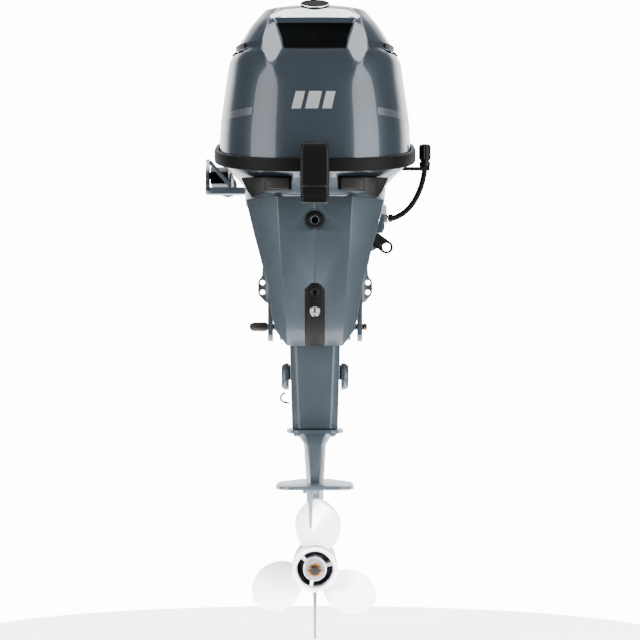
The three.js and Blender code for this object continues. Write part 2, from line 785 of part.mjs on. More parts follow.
function propeller() {
  const rear = -330;
  const ring = turned(
    "y",
    [
      [34, HUB_FRONT], [36.5, HUB_FRONT - 2], [PROP_HUB_RADIUS - 1, -285], [PROP_HUB_RADIUS, rear],
      [31, rear], [30, -300], [30, HUB_FRONT],
    ],
    [0, PROP_Z],
    32,
  );
  const hub = rod("y", 20, [HUB_FRONT, -322], [0, PROP_Z], 20);
  const bore = rod("y", 10 + GAP, [-200, -400], [0, PROP_Z]);
  const hollow = rod("y", 30, [-200, -400], [0, PROP_Z], 24);
  const spokes = [17, 137, 257].map((angle) => {
    const spoke = block([15, 33], [-320, HUB_FRONT - 1], [-2.5, 2.5]);
    return spoke.rotate([0, -angle, 0]).translate([0, 0, PROP_Z]);
  });
  const blades = BLADE_ANGLES.map((angle) => cut(propellerBlade(angle), hollow));
  return cut(union(ring, ...blades, hub, ...spokes), bore);
}

function propellerNut() {
  const nut = rod("y", 11, [-333.5, -346], [0, PROP_Z], 6);
  return cut(nut, rod("y", 7 + GAP, [-300, -360], [0, PROP_Z]));
}

piece("propeller", propeller(), whitePaint);
piece("propeller_nut", propellerNut(), bronze);

// ---------------------------------------------------------------- powerhead

function cylinderBlock() {
  const legs = [-1, 1].flatMap((side) =>
    [-94, -240].map((y) => rod("z", 6, [200, 282], [side * 70, y], 12)),
  );
  const body = union(
    block([-76, 76], [-262, -86], [80, 232]),
    block([-56, 56], [-258, -148], [TOP_OF_CASING + GAP, 82]),
    ...legs,
  );
  return cut(body, rod("z", 11 + GAP, [0, 300], [0, DRIVE_Y], 18));
}

function cylinderHead() {
  const cover = rounded([[-58, -322], [-52, -356], [52, -356], [58, -322]], 8);
  return union(block([-66, 66], [-324, -262 - GAP], [92, 226]), prism("z", cover, 98, 220));
}

function recoilHousing() {
  const dome = [
    [99, 283], [103, 283], [103, 296], [92, 306], [60, 318], [0, 322], [0, 318], [58, 314],
    [90, 302], [99, 293],
  ];
  const hub = rod("z", 30, [288, 320], [0, DRIVE_Y], 18);
  const ears = [-1, 1].flatMap((side) =>
    [-94, -240].map((y) => rod("z", 10, [283, 291], [side * 72, y], 12)),
  );
  const hollow = turned("z", [[0, 270], [97, 270], [97, 290], [88, 301], [0, 301]], [0, DRIVE_Y], 24);
  const shell = turned("z", dome, [0, DRIVE_Y], 24);
  return union(shell, hub, ...ears.map((ear) => cut(ear, hollow)));
}

piece("cylinder_block", cylinderBlock(), castAlloy);
piece("cylinder_head", cylinderHead(), castAlloy);
piece("recoil_housing", recoilHousing(), blackPlastic);

// ---------------------------------------------------------------- cowls

const SQUARENESS = 2.8; // exponent of the cowl's squared ellipse
const COWL_WALL = 4;

// [rear height, front height, rear, front, half width]
const TOP_COWL = [
  [103, 170, -418, 92, 166],
  [150, 195, -421, 92, 165],
  [200, 225, -419, 86, 159.5],
  [245, 255, -412, 76, 153],
  [290, 288, -400, 58, 147.5],
  [303, 300, -396, 48, 136],
  [325, 318, -385, 26, 126],
  [347, 335, -365, -5, 112],
  [364, 350, -338, -45, 92],
  [371, 362, -316, -90, 70],
];
const BOTTOM_COWL = [
  [92, 155, -412, 88, 161],
  [80, 135, -400, 80, 152],
  [66, 112, -370, 66, 134],
  [52, 95, -338, 50, 121],
];
const SKIRT = [
  [54, 97, -338, 50, 121],
  [51, 26.5, -336, 50, 118.5],
];

function cowlRing([rearZ, frontZ, rearY, frontY, half], inset, lift = 0) {
  const count = 28;
  const middle = (rearY + frontY) / 2;
  const slope = (frontZ - rearZ) / (frontY - rearY);
  const squared = (value) => Math.sign(value) * Math.abs(value) ** (2 / SQUARENESS);
  return Array.from({ length: count }, (_, i) => {
    const angle = (2 * Math.PI * i) / count;
    const x = (half - inset) * squared(Math.sin(angle));
    const y = middle + ((frontY - rearY) / 2 - inset) * squared(Math.cos(angle));
    return new THREE.Vector3(x, y, rearZ + slope * (y - rearY) + lift);
  });
}

const cowlSolid = (rings, inset, lift) => loft(rings.map((ring) => cowlRing(ring, inset, lift)));

const INTAKE = rounded([[-48, 296], [48, 296], [64, 340], [-64, 340]], 4);
const LATCH = { y: -431, z: 120, radius: 4 };

function topCowl() {
  const scoops = [-1, 1].map((side) => block([side * 125, side * 160], [-330, -150], [300, 307]));
  const body = cut(
    cowlSolid(TOP_COWL, 0, 0),
    cowlSolid(TOP_COWL, COWL_WALL, -COWL_WALL),
    prism("y", INTAKE, -450, -340),
    ...scoops,
  );
  const ear = [[-416, 112], [-434, 112], [-437, 115], [-437, 122.5], [-433, 127], [-416, 128]];
  const lug = prism("x", ear, -18, 18);
  return cut(union(body, lug), rod("x", LATCH.radius + GAP, [-40, 40], [LATCH.y, LATCH.z], 12));
}

// A black box behind the rear intake, open to the rear and through a slot in its floor.
function airDuct() {
  const outer = rounded([[-54, 290], [54, 290], [70, 346], [-70, 346]], 4);
  const inner = rounded([[-51, 293], [51, 293], [67, 343], [-67, 343]], 3);
  const box = cut(
    prism("y", outer, -440, -318),
    prism("y", inner, -450, -321),
    block([-30, 30], [-345, -330], [280, 300]),
  );
  return box.intersect(cowlSolid(TOP_COWL, COWL_WALL + GAP, -COWL_WALL - GAP));
}

// The rubber band between the cowls, with an inner flange that the edges close on.
function cowlSeal() {
  const plane = (offset, inset) => cowlRing([97 + offset, 161 + offset, -428, 101, 174], inset);
  const band = cut(
    loft([plane(-11, 1.5), plane(-8, 0), plane(8, 0), plane(11, 1.5)]),
    loft([plane(-15, 7.5), plane(15, 7.5)]),
  );
  const flange = cut(
    loft([plane(-3.5, 5), plane(4.5, 5)]),
    loft([plane(-8, 18), plane(8, 18)]),
  );
  return union(band, flange);
}

// The cap lies on the roof's rear slope, on a foot that follows the roof.
const CAP = { y: -314, z: 371.5, lean: 12 };

function topCap() {
  const profile = [[0, -14], [24.5, -14], [24.5, 2], [22.5, 4], [0, 4]];
  const puck = turned("z", profile, [0, 0], 20).rotate([CAP.lean, 0, 0]);
  return cut(puck.translate([0, CAP.y, CAP.z]), cowlSolid(TOP_COWL, 0, 0));
}

const LEVER_FACE = [
  [-440, 130], [-446, 130], [-450, 122], [-450, 62], [-447, 58], [-447, 46], [-452, 36],
  [-449, 34], [-440, 44],
];
const LEVER_CHEEK = [[-424, 113], [-424, 126], [-441, 128], [-441, 96], [-430, 113]];

function cowlLockLever() {
  const face = rounded(LEVER_FACE, 1.5);
  const cheeks = [-1, 1].map((side) =>
    prism("x", rounded(LEVER_CHEEK, 3), side * 19, side * 24),
  );
  return union(
    prism("x", face, -24, 24),
    ...cheeks,
    rod("x", LATCH.radius, [-24, 24], [LATCH.y, LATCH.z], 12),
  );
}

// The rear hand grips, in the hollow under the bottom cowl's rear corners.
function rearGrip(side, grow) {
  const outline = [[38, -400], [82, -394], [125, -356], [119, -338], [76, -370], [38, -378]];
  const spread = outline.map(([x, y], i) => {
    const aft = i < 3 ? -grow : grow;
    return [side * (x + (x < 40 ? -grow : x > 110 ? grow : 0)), y + aft];
  });
  return prism("z", rounded(spread, 4), 44 - grow, 84 + grow);
}

const HOSE_Y = -150; // the flushing hose hangs in one plane, beside the casing
const HOSE_RADIUS = 4.8;
const FRONT = { rope: [0, 128], choke: [-46, 122], shift: [30, 118] };

function bottomCowl() {
  const inside = cowlSolid([[110, 175, -412, 88, 161], ...BOTTOM_COWL], COWL_WALL, COWL_WALL);
  const floorHole = block([-77, 77], [-300, -84], [30, 100]);
  const shell = cut(cowlSolid(BOTTOM_COWL, 0, 0), inside, floorHole);
  const skirt = cut(
    cowlSolid(SKIRT, 0, 0),
    loft([cowlRing(SKIRT[0], COWL_WALL, 10), cowlRing(SKIRT[1], COWL_WALL, -10)]),
    block([-200, 200], [APRON_FRONT, 100], [0, 120]),
  );
  const hoseHole = rod("z", HOSE_RADIUS + 1.5, [90, 110], [189.5, HOSE_Y], 12);
  const connectorArm = block([136, 198], [-160, -140], [100, 106]).subtract(hoseHole);
  const keeper = block([-16, 16], [-424, -370], [68, 76]);
  return cut(
    union(shell, skirt, cut(union(connectorArm, keeper), inside)),
    ...SIDES.map(([, side]) => rearGrip(side, GAP)),
    rod("y", 3, [40, 120], FRONT.rope, 12),
    rod("y", 3.5, [40, 120], FRONT.choke, 12),
    rod("x", 6 + GAP, [60, 160], FRONT.shift, 12),
  );
}

piece("top_cowl", topCowl(), paint);
piece("air_duct", airDuct(), blackPlastic);
piece("cowl_seal", cowlSeal(), rubber);
piece("top_cap", topCap(), blackPlastic);
piece("cowl_lock_lever", cowlLockLever(), blackPlastic);
piece("bottom_cowl", bottomCowl(), paint);
for (const [name, side] of SIDES) piece(`rear_grip_${name}`, rearGrip(side, 0), blackPlastic);

// ---------------------------------------------------------------- controls

const ARM_END = 470;

function tillerArm() {
  const { x, y, z } = TILLER;
  const sideView = rounded(
    [
      [y - 15, z - 14], [150, z - 18], [ARM_END, z - 16], [ARM_END, z + 16], [150, z + 18],
      [y - 15, z + 15],
    ],
    9,
  );
  const body = union(
    prism("x", sideView, x - 15.5, x + 15.5),
    rod("x", 6, [-194, -146], [y, z], 12),
    rod("y", 17.5, [ARM_END - 40, ARM_END], [x, z], 18),
    rod("y", 9, [ARM_END - 2, HANDLE_Y - 16], [x, z], 16),
  );
  return cut(body, rod("z", 8 + GAP, [z + 5, z + 30], [x, 425], 12));
}

function throttleGrip() {
  const { x, z } = TILLER;
  const profile = [
    [9.3, 470.3], [21, 470.3], [21, 478], [18, 484], [18.5, 540], [17.5, 606], [14, HANDLE_Y],
    [0, HANDLE_Y], [0, 602], [9.3, 602],
  ];
  return turned("y", profile, [x, z], 18);
}

function stopButton() {
  const top = TILLER.z + 22;
  const profile = [[0, top - 10], [8, top - 10], [8, top - 1], [7, top], [0, top]];
  return turned("z", profile, [TILLER.x, 425], 16);
}

// A lever on the starboard side that shifts between forward, neutral and reverse.
function shiftLever() {
  const [y, z] = FRONT.shift;
  const arm = rounded([[y - 12, z - 9], [y + 96, z + 6], [y + 96, z + 18], [y - 12, z + 10]], 6);
  return union(
    rod("x", 6, [86, 128], FRONT.shift, 12),
    prism("x", arm, 120, 128),
    rod("x", 10, [116, 140], [y + 92, z + 12], 12),
  );
}

function starterHandle() {
  const [x, z] = FRONT.rope;
  const bar = rounded([[x - 27, z - 9], [x + 27, z - 9], [x + 27, z + 9], [x - 27, z + 9]], 8);
  return union(prism("y", bar, 96, 112), rod("y", 9, [84, 98], FRONT.rope, 12));
}

const starterRope = () => rod("y", 2, [-60, 84 - GAP], FRONT.rope, 8);

function chokeKnob() {
  return union(rod("y", 3, [20, 88], FRONT.choke, 12), rod("y", 11, [86, 100], FRONT.choke, 12));
}

piece("tiller_arm", tillerArm(), blackPlastic);
piece("throttle_grip", throttleGrip(), rubber);
piece("stop_button", stopButton(), red);
piece("shift_lever", shiftLever(), blackPlastic);
piece("starter_handle", starterHandle(), blackPlastic);
piece("starter_rope", starterRope(), blackPlastic);
piece("choke_knob", chokeKnob(), blackPlastic);

// ---------------------------------------------------------------- flushing hose and ground lead

// [x, z] of the hose's middle line, from the connector's end to the inlet on the apron.
const HOSE = [
  [190, 111], [189.5, 104], [188.5, 96], [187, 88], [185, 79.5], [182.3, 71], [179, 62.5],
  [175, 54], [170.3, 46], [164.8, 38.5], [158.4, 31.6], [151.2, 25.6], [143, 21], [134.5, 18],
  [125.5, 17],
];

function flushConnector() {
  const profile = [
    [5.4, 106.3], [8.5, 106.3], [8.5, 118], [10.5, 120], [10.5, 140], [8, 146], [5.4, 146],
  ];
  return turned("z", profile, [189.5, HOSE_Y], 20);
}

function flushInlet() {
  const boss = [[113.7, 24], [105, -8], [116, -8], [120, 0], [120, 24]];
  return union(
    prism("y", boss, HOSE_Y - 11, HOSE_Y + 11),
    rod("x", 7.5, [116, 125], [HOSE_Y, 17], 12),
  );
}

const hoseLine = HOSE.map(([x, z]) => [x, HOSE_Y, z]);
const GROUND_LEAD = [
  [-52, -122, -284], [-57, -126, -287], [-59.5, -132, -291], [-59, -140, -295],
  [-56, -150, -298], [-51, -160, -300], [-45, -168, -301],
];

piece("flush_connector", flushConnector(), blackPlastic);
piece("flush_hose", tube(hoseLine, HOSE_RADIUS, 8, 12), rubber);
piece("flush_inlet", flushInlet(), paint);
piece("ground_lead", tube(GROUND_LEAD, 1.7, 8, 10), rubber);

export default motor;
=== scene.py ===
# %% [markdown]
# # An outboard motor
# The frame is loaded first: every part of the CAD model, each riding on the body that moves it. All the
# measures below are in metres, with +X to starboard, +Y forward into the boat and +Z up. The origin is on
# the top edge of the boat's transom.

# %% Load the frame
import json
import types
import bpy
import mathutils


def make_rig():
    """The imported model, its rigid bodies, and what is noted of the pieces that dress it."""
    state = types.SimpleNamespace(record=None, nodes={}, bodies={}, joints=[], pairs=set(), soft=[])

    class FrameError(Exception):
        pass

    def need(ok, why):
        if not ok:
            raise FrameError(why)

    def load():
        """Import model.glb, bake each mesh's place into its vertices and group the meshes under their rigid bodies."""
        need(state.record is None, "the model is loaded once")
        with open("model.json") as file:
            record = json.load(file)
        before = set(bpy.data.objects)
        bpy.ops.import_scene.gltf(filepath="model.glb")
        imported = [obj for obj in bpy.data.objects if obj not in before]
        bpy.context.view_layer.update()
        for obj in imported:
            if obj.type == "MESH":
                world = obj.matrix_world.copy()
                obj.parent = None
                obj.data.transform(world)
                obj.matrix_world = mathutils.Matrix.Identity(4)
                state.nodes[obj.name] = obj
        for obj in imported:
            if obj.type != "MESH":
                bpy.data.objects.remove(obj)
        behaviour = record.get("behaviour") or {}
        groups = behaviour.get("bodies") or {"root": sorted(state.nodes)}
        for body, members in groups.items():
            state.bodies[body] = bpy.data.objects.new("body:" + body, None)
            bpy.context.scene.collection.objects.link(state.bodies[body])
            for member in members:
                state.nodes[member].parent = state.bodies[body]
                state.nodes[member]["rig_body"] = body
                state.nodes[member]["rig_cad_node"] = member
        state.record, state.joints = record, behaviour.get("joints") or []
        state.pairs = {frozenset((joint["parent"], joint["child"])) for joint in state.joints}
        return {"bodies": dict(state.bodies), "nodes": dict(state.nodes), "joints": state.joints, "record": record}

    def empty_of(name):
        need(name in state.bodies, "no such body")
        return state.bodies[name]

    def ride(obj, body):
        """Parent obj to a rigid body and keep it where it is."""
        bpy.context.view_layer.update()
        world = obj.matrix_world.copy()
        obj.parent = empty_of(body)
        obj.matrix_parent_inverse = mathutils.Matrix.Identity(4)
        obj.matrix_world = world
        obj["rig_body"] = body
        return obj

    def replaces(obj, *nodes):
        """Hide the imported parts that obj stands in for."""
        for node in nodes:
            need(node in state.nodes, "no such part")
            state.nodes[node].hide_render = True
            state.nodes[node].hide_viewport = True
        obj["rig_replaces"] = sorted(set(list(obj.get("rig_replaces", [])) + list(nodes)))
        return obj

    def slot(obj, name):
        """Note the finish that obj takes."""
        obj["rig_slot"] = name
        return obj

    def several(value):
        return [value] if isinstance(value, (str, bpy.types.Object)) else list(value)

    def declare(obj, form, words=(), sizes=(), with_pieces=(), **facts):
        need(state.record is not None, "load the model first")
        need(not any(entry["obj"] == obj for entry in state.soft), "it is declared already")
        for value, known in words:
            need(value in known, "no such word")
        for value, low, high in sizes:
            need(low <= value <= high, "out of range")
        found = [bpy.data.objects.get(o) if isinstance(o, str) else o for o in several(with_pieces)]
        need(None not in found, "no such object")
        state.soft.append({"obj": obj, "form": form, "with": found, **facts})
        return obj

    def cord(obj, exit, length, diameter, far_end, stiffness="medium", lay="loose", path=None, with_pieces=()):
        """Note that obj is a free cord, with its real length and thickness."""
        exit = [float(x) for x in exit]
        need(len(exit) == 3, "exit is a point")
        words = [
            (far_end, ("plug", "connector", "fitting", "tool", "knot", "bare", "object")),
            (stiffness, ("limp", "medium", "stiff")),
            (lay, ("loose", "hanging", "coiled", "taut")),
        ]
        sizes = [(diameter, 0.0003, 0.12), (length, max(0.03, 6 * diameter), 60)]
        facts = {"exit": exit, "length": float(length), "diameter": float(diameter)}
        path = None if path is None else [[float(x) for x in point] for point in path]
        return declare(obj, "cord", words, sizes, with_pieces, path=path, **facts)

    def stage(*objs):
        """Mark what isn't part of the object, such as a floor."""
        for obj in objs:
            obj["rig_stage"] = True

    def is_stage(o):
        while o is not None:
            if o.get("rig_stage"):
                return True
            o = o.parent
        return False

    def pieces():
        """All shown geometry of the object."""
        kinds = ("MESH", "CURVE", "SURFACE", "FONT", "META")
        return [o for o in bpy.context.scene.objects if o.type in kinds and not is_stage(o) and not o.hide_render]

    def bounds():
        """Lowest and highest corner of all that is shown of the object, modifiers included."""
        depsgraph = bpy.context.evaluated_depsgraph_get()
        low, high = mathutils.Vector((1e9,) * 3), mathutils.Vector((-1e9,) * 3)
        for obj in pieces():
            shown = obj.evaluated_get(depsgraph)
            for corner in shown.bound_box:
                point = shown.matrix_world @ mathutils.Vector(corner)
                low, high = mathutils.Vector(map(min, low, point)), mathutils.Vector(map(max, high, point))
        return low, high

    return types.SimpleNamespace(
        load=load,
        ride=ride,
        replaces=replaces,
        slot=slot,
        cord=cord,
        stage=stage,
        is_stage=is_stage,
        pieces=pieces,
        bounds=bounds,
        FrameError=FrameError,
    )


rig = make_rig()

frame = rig.load()
import json
import math

import bpy
from mathutils import Matrix, Vector

CAD_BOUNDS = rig.bounds()
nodes = frame["nodes"]
MM = 0.001
print("CAD box", CAD_BOUNDS)

# %% [markdown]
# The camera stands six metres behind the motor, level, a little below the transom. A long lens keeps the
# sides of the casing parallel, as in a catalogue.

# %% Camera
CAMERA_AT = Vector((0.0086, -6.170, -0.158))
SENSOR = 0.036
CASING_DISTANCE = 6.0
FRAME_WIDTH = 1.1008  # what the frame takes in at the casing
camera_data = bpy.data.cameras.new("camera")
camera_data.sensor_width = SENSOR * 1000
camera_data.lens = SENSOR * 1000 * CASING_DISTANCE / FRAME_WIDTH
camera = bpy.data.objects.new("camera", camera_data)
camera.location = CAMERA_AT
camera.rotation_euler = (math.pi / 2, 0, 0)
bpy.context.scene.collection.objects.link(camera)
bpy.context.scene.camera = camera
print("lens", round(camera_data.lens, 1), "mm")

# %% [markdown]
# ## Colour and materials
# Paint charts give sRGB hex values, and Blender's shaders want linear ones, so one function turns them.
# One more function adds a node with its settings and links. Constant values are set on the shader itself.

# %% Helpers for materials
def linear(hex_value):
    channels = [int(hex_value[i:i + 2], 16) / 255 for i in (1, 3, 5)]
    return [c / 12.92 if c <= 0.04045 else ((c + 0.055) / 1.055) ** 2.4 for c in channels] + [1.0]


def add_node(tree, kind, settings=None, inputs=None, links=None):
    node = tree.nodes.new(kind)
    for name, value in (settings or {}).items():
        setattr(node, name, value)
    for name, value in (inputs or {}).items():
        node.inputs[name].default_value = value
    for name, socket in (links or {}).items():
        tree.links.new(socket, node.inputs[name])
    return node


def surface(name, color, dark, grain_mm, bump_mm, spread, **shader):
    """A principled surface whose colour, roughness and relief vary with a noise of real size."""
    material = bpy.data.materials.new(name)
    material.use_nodes = True
    tree = material.node_tree
    tree.nodes.clear()
    place = add_node(tree, "ShaderNodeTexCoord")
    broad = add_node(tree, "ShaderNodeTexNoise", inputs={"Scale": 14.0, "Detail": 4.0},
                     links={"Vector": place.outputs["Object"]})
    fine = add_node(tree, "ShaderNodeTexNoise", inputs={"Scale": 1 / (grain_mm * MM), "Detail": 3.0},
                    links={"Vector": place.outputs["Object"]})
    tint = add_node(tree, "ShaderNodeMix", {"data_type": "RGBA"}, {"A": linear(dark), "B": linear(color)},
                    {"Factor": broad.outputs["Fac"]})
    rough = add_node(tree, "ShaderNodeMapRange",
                     inputs={"To Min": max(0.02, shader["Roughness"] - spread),
                             "To Max": shader["Roughness"] + spread},
                     links={"Value": fine.outputs["Fac"]})
    relief = add_node(tree, "ShaderNodeBump", inputs={"Strength": 0.5, "Distance": bump_mm * MM},
                      links={"Height": fine.outputs["Fac"]})
    shader = {key: value for key, value in shader.items() if key != "Roughness"}
    bsdf = add_node(tree, "ShaderNodeBsdfPrincipled", inputs=shader,
                    links={"Base Color": tint.outputs["Result"], "Roughness": rough.outputs["Result"],
                           "Normal": relief.outputs["Normal"]})
    add_node(tree, "ShaderNodeOutputMaterial", links={"Surface": bsdf.outputs["BSDF"]})
    return material


# %% [markdown]
# The casings are cast and moulded parts with one automotive finish: a blue-grey base coat with fine metal
# flake under a clear coat. The flake is far finer than the eye resolves, so it shows only as a soft sheen.
# The coat gives the sharp reflections. Black parts are moulded polyamide, matt and slightly grained, and
# the seals are EPDM rubber, darker and rougher still. The round cap has a soft-touch lacquer that hardly
# reflects at all. The bars and stripes are printed films, one pale and one silver.

# %% Materials
METALLIC_PAINT = surface("metallic_paint", "#4d5862", "#454f59", 0.5, 0.004, 0.03,
                         **{"Metallic": 0.45, "Roughness": 0.36, "Coat Weight": 1.0, "Coat Roughness": 0.03})
CAST_PAINT = surface("painted_casting", "#57626b", "#4c5760", 0.9, 0.02, 0.05,
                     **{"Metallic": 0.4, "Roughness": 0.42, "Coat Weight": 0.6, "Coat Roughness": 0.12})
BLACK_NYLON = surface("black_polyamide", "#0f0e0e", "#0a0a0a", 0.7, 0.03, 0.06,
                      **{"Roughness": 0.42, "IOR": 1.5, "Specular IOR Level": 0.35})
GRIP_NYLON = surface("grip_polyamide", "#332e2b", "#292523", 0.8, 0.04, 0.06,
                     **{"Roughness": 0.55, "IOR": 1.5})
EPDM = surface("epdm_rubber", "#0c0c0c", "#080808", 0.6, 0.02, 0.06,
               **{"Roughness": 0.62, "IOR": 1.5, "Specular IOR Level": 0.25})
SOFT_BLACK = surface("soft_touch_black", "#070707", "#040404", 0.6, 0.02, 0.03,
                     **{"Roughness": 0.8, "Specular IOR Level": 0.1})
# This black is the air duct's own colour, and also painted shade for the sheets laid in the side scoops.
DUCT_AND_SHADE_BLACK = surface("duct_and_painted_shade_black", "#1b2327", "#151c20", 1.2, 0.03, 0.05, **{"Roughness": 0.5})
WHITE_PAINT = surface("white_baked_paint", "#f1f1f2", "#e9eaec", 0.8, 0.01, 0.05,
                      **{"Roughness": 0.35, "Coat Weight": 0.5, "Coat Roughness": 0.1})
STAINLESS = surface("brushed_stainless", "#c9cacb", "#b4b6b8", 0.5, 0.004, 0.1,
                    **{"Metallic": 1.0, "Roughness": 0.28})
BLACK_STEEL = surface("e_coated_steel", "#1a1b1c", "#131414", 0.8, 0.01, 0.08,
                      **{"Metallic": 0.5, "Roughness": 0.45})
CAST_ALLOY = surface("cast_aluminium", "#a4a7a9", "#8c9092", 1.0, 0.05, 0.1,
                     **{"Metallic": 0.9, "Roughness": 0.5})
BRONZE = surface("bronze", "#b98250", "#9a6a3e", 0.8, 0.01, 0.1, **{"Metallic": 1.0, "Roughness": 0.35})
ZINC = surface("zinc_anode", "#8f959a", "#7b8186", 1.5, 0.08, 0.08, **{"Metallic": 0.6, "Roughness": 0.6})
PALE_FILM = surface("pale_film", "#c6c9cc", "#bbbec2", 0.6, 0.002, 0.04,
                    **{"Metallic": 0.1, "Roughness": 0.4})
SILVER_FILM = surface("silver_film", "#9aa1a8", "#8d949c", 0.6, 0.002, 0.04,
                      **{"Metallic": 0.75, "Roughness": 0.3, "Coat Weight": 0.6, "Coat Roughness": 0.06})
CHROME = surface("bright_chrome", "#d9dadb", "#cfd1d3", 1.0, 0.002, 0.02,
                 **{"Metallic": 1.0, "Roughness": 0.12})
RED_ABS = surface("red_abs", "#b3201c", "#a01915", 0.8, 0.01, 0.05, **{"Roughness": 0.35})
SLOT_MATERIALS = {
    "blue_grey_paint": CAST_PAINT, "black_plastic": BLACK_NYLON, "black_rubber": EPDM, "steel": STAINLESS,
    "dark_steel": BLACK_STEEL, "cast_alloy": CAST_ALLOY, "white_paint": WHITE_PAINT, "bronze": BRONZE,
    "zinc_anode": ZINC, "red_plastic": RED_ABS,
}
SLOT_OF = {part["node"]: part["material_slot"] for part in frame["record"]["subparts"]}
print(len(bpy.data.materials), "materials")

# %% [markdown]
# ## The flushing hose
# The hose is the only free cord: 9.6 mm rubber hose that leaves the connector beside the cowl, hangs in a
# bend and goes into the inlet on the apron. Its route is the line that the CAD tube follows.

# %% Hose
HOSE_Y = -0.150
HOSE_DIAMETER = 0.0096
HOSE_MM = [
    (190, 111), (189.5, 104), (188.5, 96), (187, 88), (185, 79.5), (182.3, 71), (179, 62.5), (175, 54),
    (170.3, 46), (164.8, 38.5), (158.4, 31.6), (151.2, 25.6), (143, 21), (134.5, 18), (125.5, 17),
]
hose_points = [Vector((x * MM, HOSE_Y, z * MM)) for x, z in HOSE_MM]
HOSE_LENGTH = sum((b - a).length for a, b in zip(hose_points, hose_points[1:]))
hose_curve = bpy.data.curves.new("flushing_hose", "CURVE")
hose_curve.dimensions = "3D"
hose_curve.bevel_depth = HOSE_DIAMETER / 2
hose_curve.bevel_resolution = 6
hose_curve.use_fill_caps = True
hose_spline = hose_curve.splines.new("BEZIER")
hose_spline.bezier_points.add(len(hose_points) - 1)
for knot, point in zip(hose_spline.bezier_points, hose_points):
    knot.co = point
    knot.handle_left_type = knot.handle_right_type = "AUTO"
hose = bpy.data.objects.new("flushing_hose", hose_curve)
bpy.context.scene.collection.objects.link(hose)
hose_curve.materials.append(EPDM)
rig.ride(hose, "motor")
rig.replaces(hose, "flush_hose")
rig.slot(hose, "black_rubber")
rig.cord(hose, exit=tuple(hose_points[0]), length=round(HOSE_LENGTH, 4), diameter=HOSE_DIAMETER,
        far_end="object", stiffness="stiff", lay="hanging")
print("hose", round(HOSE_LENGTH * 1000), "mm")

# %% [markdown]
# ## How pieces are finished
# Every new piece ends the same way: its place goes into its mesh, its sharp edges get a small round, it is
# shaded smooth except at real corners, and it is told its body, its material slot and the CAD part that it
# stands for.

# %% Finishing a piece
def deselect():
    if bpy.context.object and bpy.context.object.mode != "OBJECT":
        bpy.ops.object.mode_set(mode="OBJECT")
    bpy.ops.object.select_all(action="DESELECT")


def activate(piece):
    deselect()
    piece.select_set(True)
    bpy.context.view_layer.objects.active = piece


def apply_modifier(piece, kind, **settings):
    activate(piece)
    modifier = piece.modifiers.new(kind.lower(), kind)
    for name, value in settings.items():
        setattr(modifier, name, value)
    bpy.ops.object.modifier_apply(modifier=modifier.name)


def settle(piece, name, body, slot, material=None, stands_for=(), round_mm=0.0, segments=3, smooth_deg=32):
    activate(piece)
    bpy.ops.object.transform_apply(location=True, rotation=True, scale=True)
    piece.name = name
    if round_mm:
        apply_modifier(piece, "BEVEL", width=round_mm * MM, segments=segments, limit_method="ANGLE",
                       angle_limit=math.radians(35), harden_normals=False)
    activate(piece)
    bpy.ops.object.shade_smooth_by_angle(angle=math.radians(smooth_deg))
    piece.data.materials.clear()
    piece.data.materials.append(material or SLOT_MATERIALS[slot])
    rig.ride(piece, body)
    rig.slot(piece, slot)
    if stands_for:
        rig.replaces(piece, *stands_for)
    return piece


def box(low, high):
    """A block between two corners, in metres."""
    deselect()
    middle = [(a + b) / 2 for a, b in zip(low, high)]
    bpy.ops.mesh.primitive_cube_add(size=1, location=middle, scale=[b - a for a, b in zip(low, high)])
    return bpy.context.object


TURN_TO = {"x": (0, math.pi / 2, 0), "y": (math.pi / 2, 0, 0), "z": (0, 0, 0)}


def rod(axis, radius, start, end, centre, sides=48, end_radius=None):
    """A round bar along an axis. centre holds the two coordinates across that axis, in X, Y, Z order."""
    deselect()
    along = "xyz".index(axis)
    place = list(centre)
    place.insert(along, (start + end) / 2)
    bpy.ops.mesh.primitive_cone_add(vertices=sides, radius1=radius, depth=abs(end - start), location=place,
                                    radius2=radius if end_radius is None else end_radius,
                                    rotation=TURN_TO[axis])
    return bpy.context.object


def mesh_piece(name, points, faces):
    mesh = bpy.data.meshes.new(name)
    mesh.from_pydata([tuple(p) for p in points], [], faces)
    piece = bpy.data.objects.new(name, mesh)
    bpy.context.scene.collection.objects.link(piece)
    activate(piece)
    bpy.ops.object.mode_set(mode="EDIT")
    bpy.ops.mesh.select_all(action="SELECT")
    bpy.ops.mesh.remove_doubles(threshold=1e-6)
    bpy.ops.mesh.normals_make_consistent(inside=False)
    bpy.ops.object.mode_set(mode="OBJECT")
    return piece


def skin(name, rings, caps=True):
    """A surface through rings of equally many points, like a skin over formers."""
    count = len(rings[0])
    faces = []
    for r in range(len(rings) - 1):
        for i in range(count):
            a, b = r * count + i, r * count + (i + 1) % count
            faces.append((a, b, b + count, a + count))
    if caps:
        faces.append(tuple(range(count)))
        faces.append(tuple(range(len(rings) * count - 1, (len(rings) - 1) * count - 1, -1)))
    return mesh_piece(name, [p for ring in rings for p in ring], faces)


def turned(name, axis, profile, centre, sides=64):
    """A profile of (radius, station) pairs turned about an axis: lathe work."""
    rings = []
    for radius, station in profile:
        ring = []
        for i in range(sides):
            angle = 2 * math.pi * i / sides
            across = [radius * math.cos(angle) + centre[0], radius * math.sin(angle) + centre[1]]
            across.insert("xyz".index(axis), station)
            ring.append(across)
        rings.append(ring)
    closed = profile[0] == profile[-1]
    return skin(name, rings, caps=not closed)


def cut_with(piece, cutters, operation="DIFFERENCE"):
    for cutter in cutters:
        apply_modifier(piece, "BOOLEAN", operation=operation, object=cutter, solver="EXACT")
        bpy.data.objects.remove(cutter)


def join(pieces):
    deselect()
    for piece in pieces:
        piece.select_set(True)
    bpy.context.view_layer.objects.active = pieces[0]
    bpy.ops.object.join()
    return pieces[0]


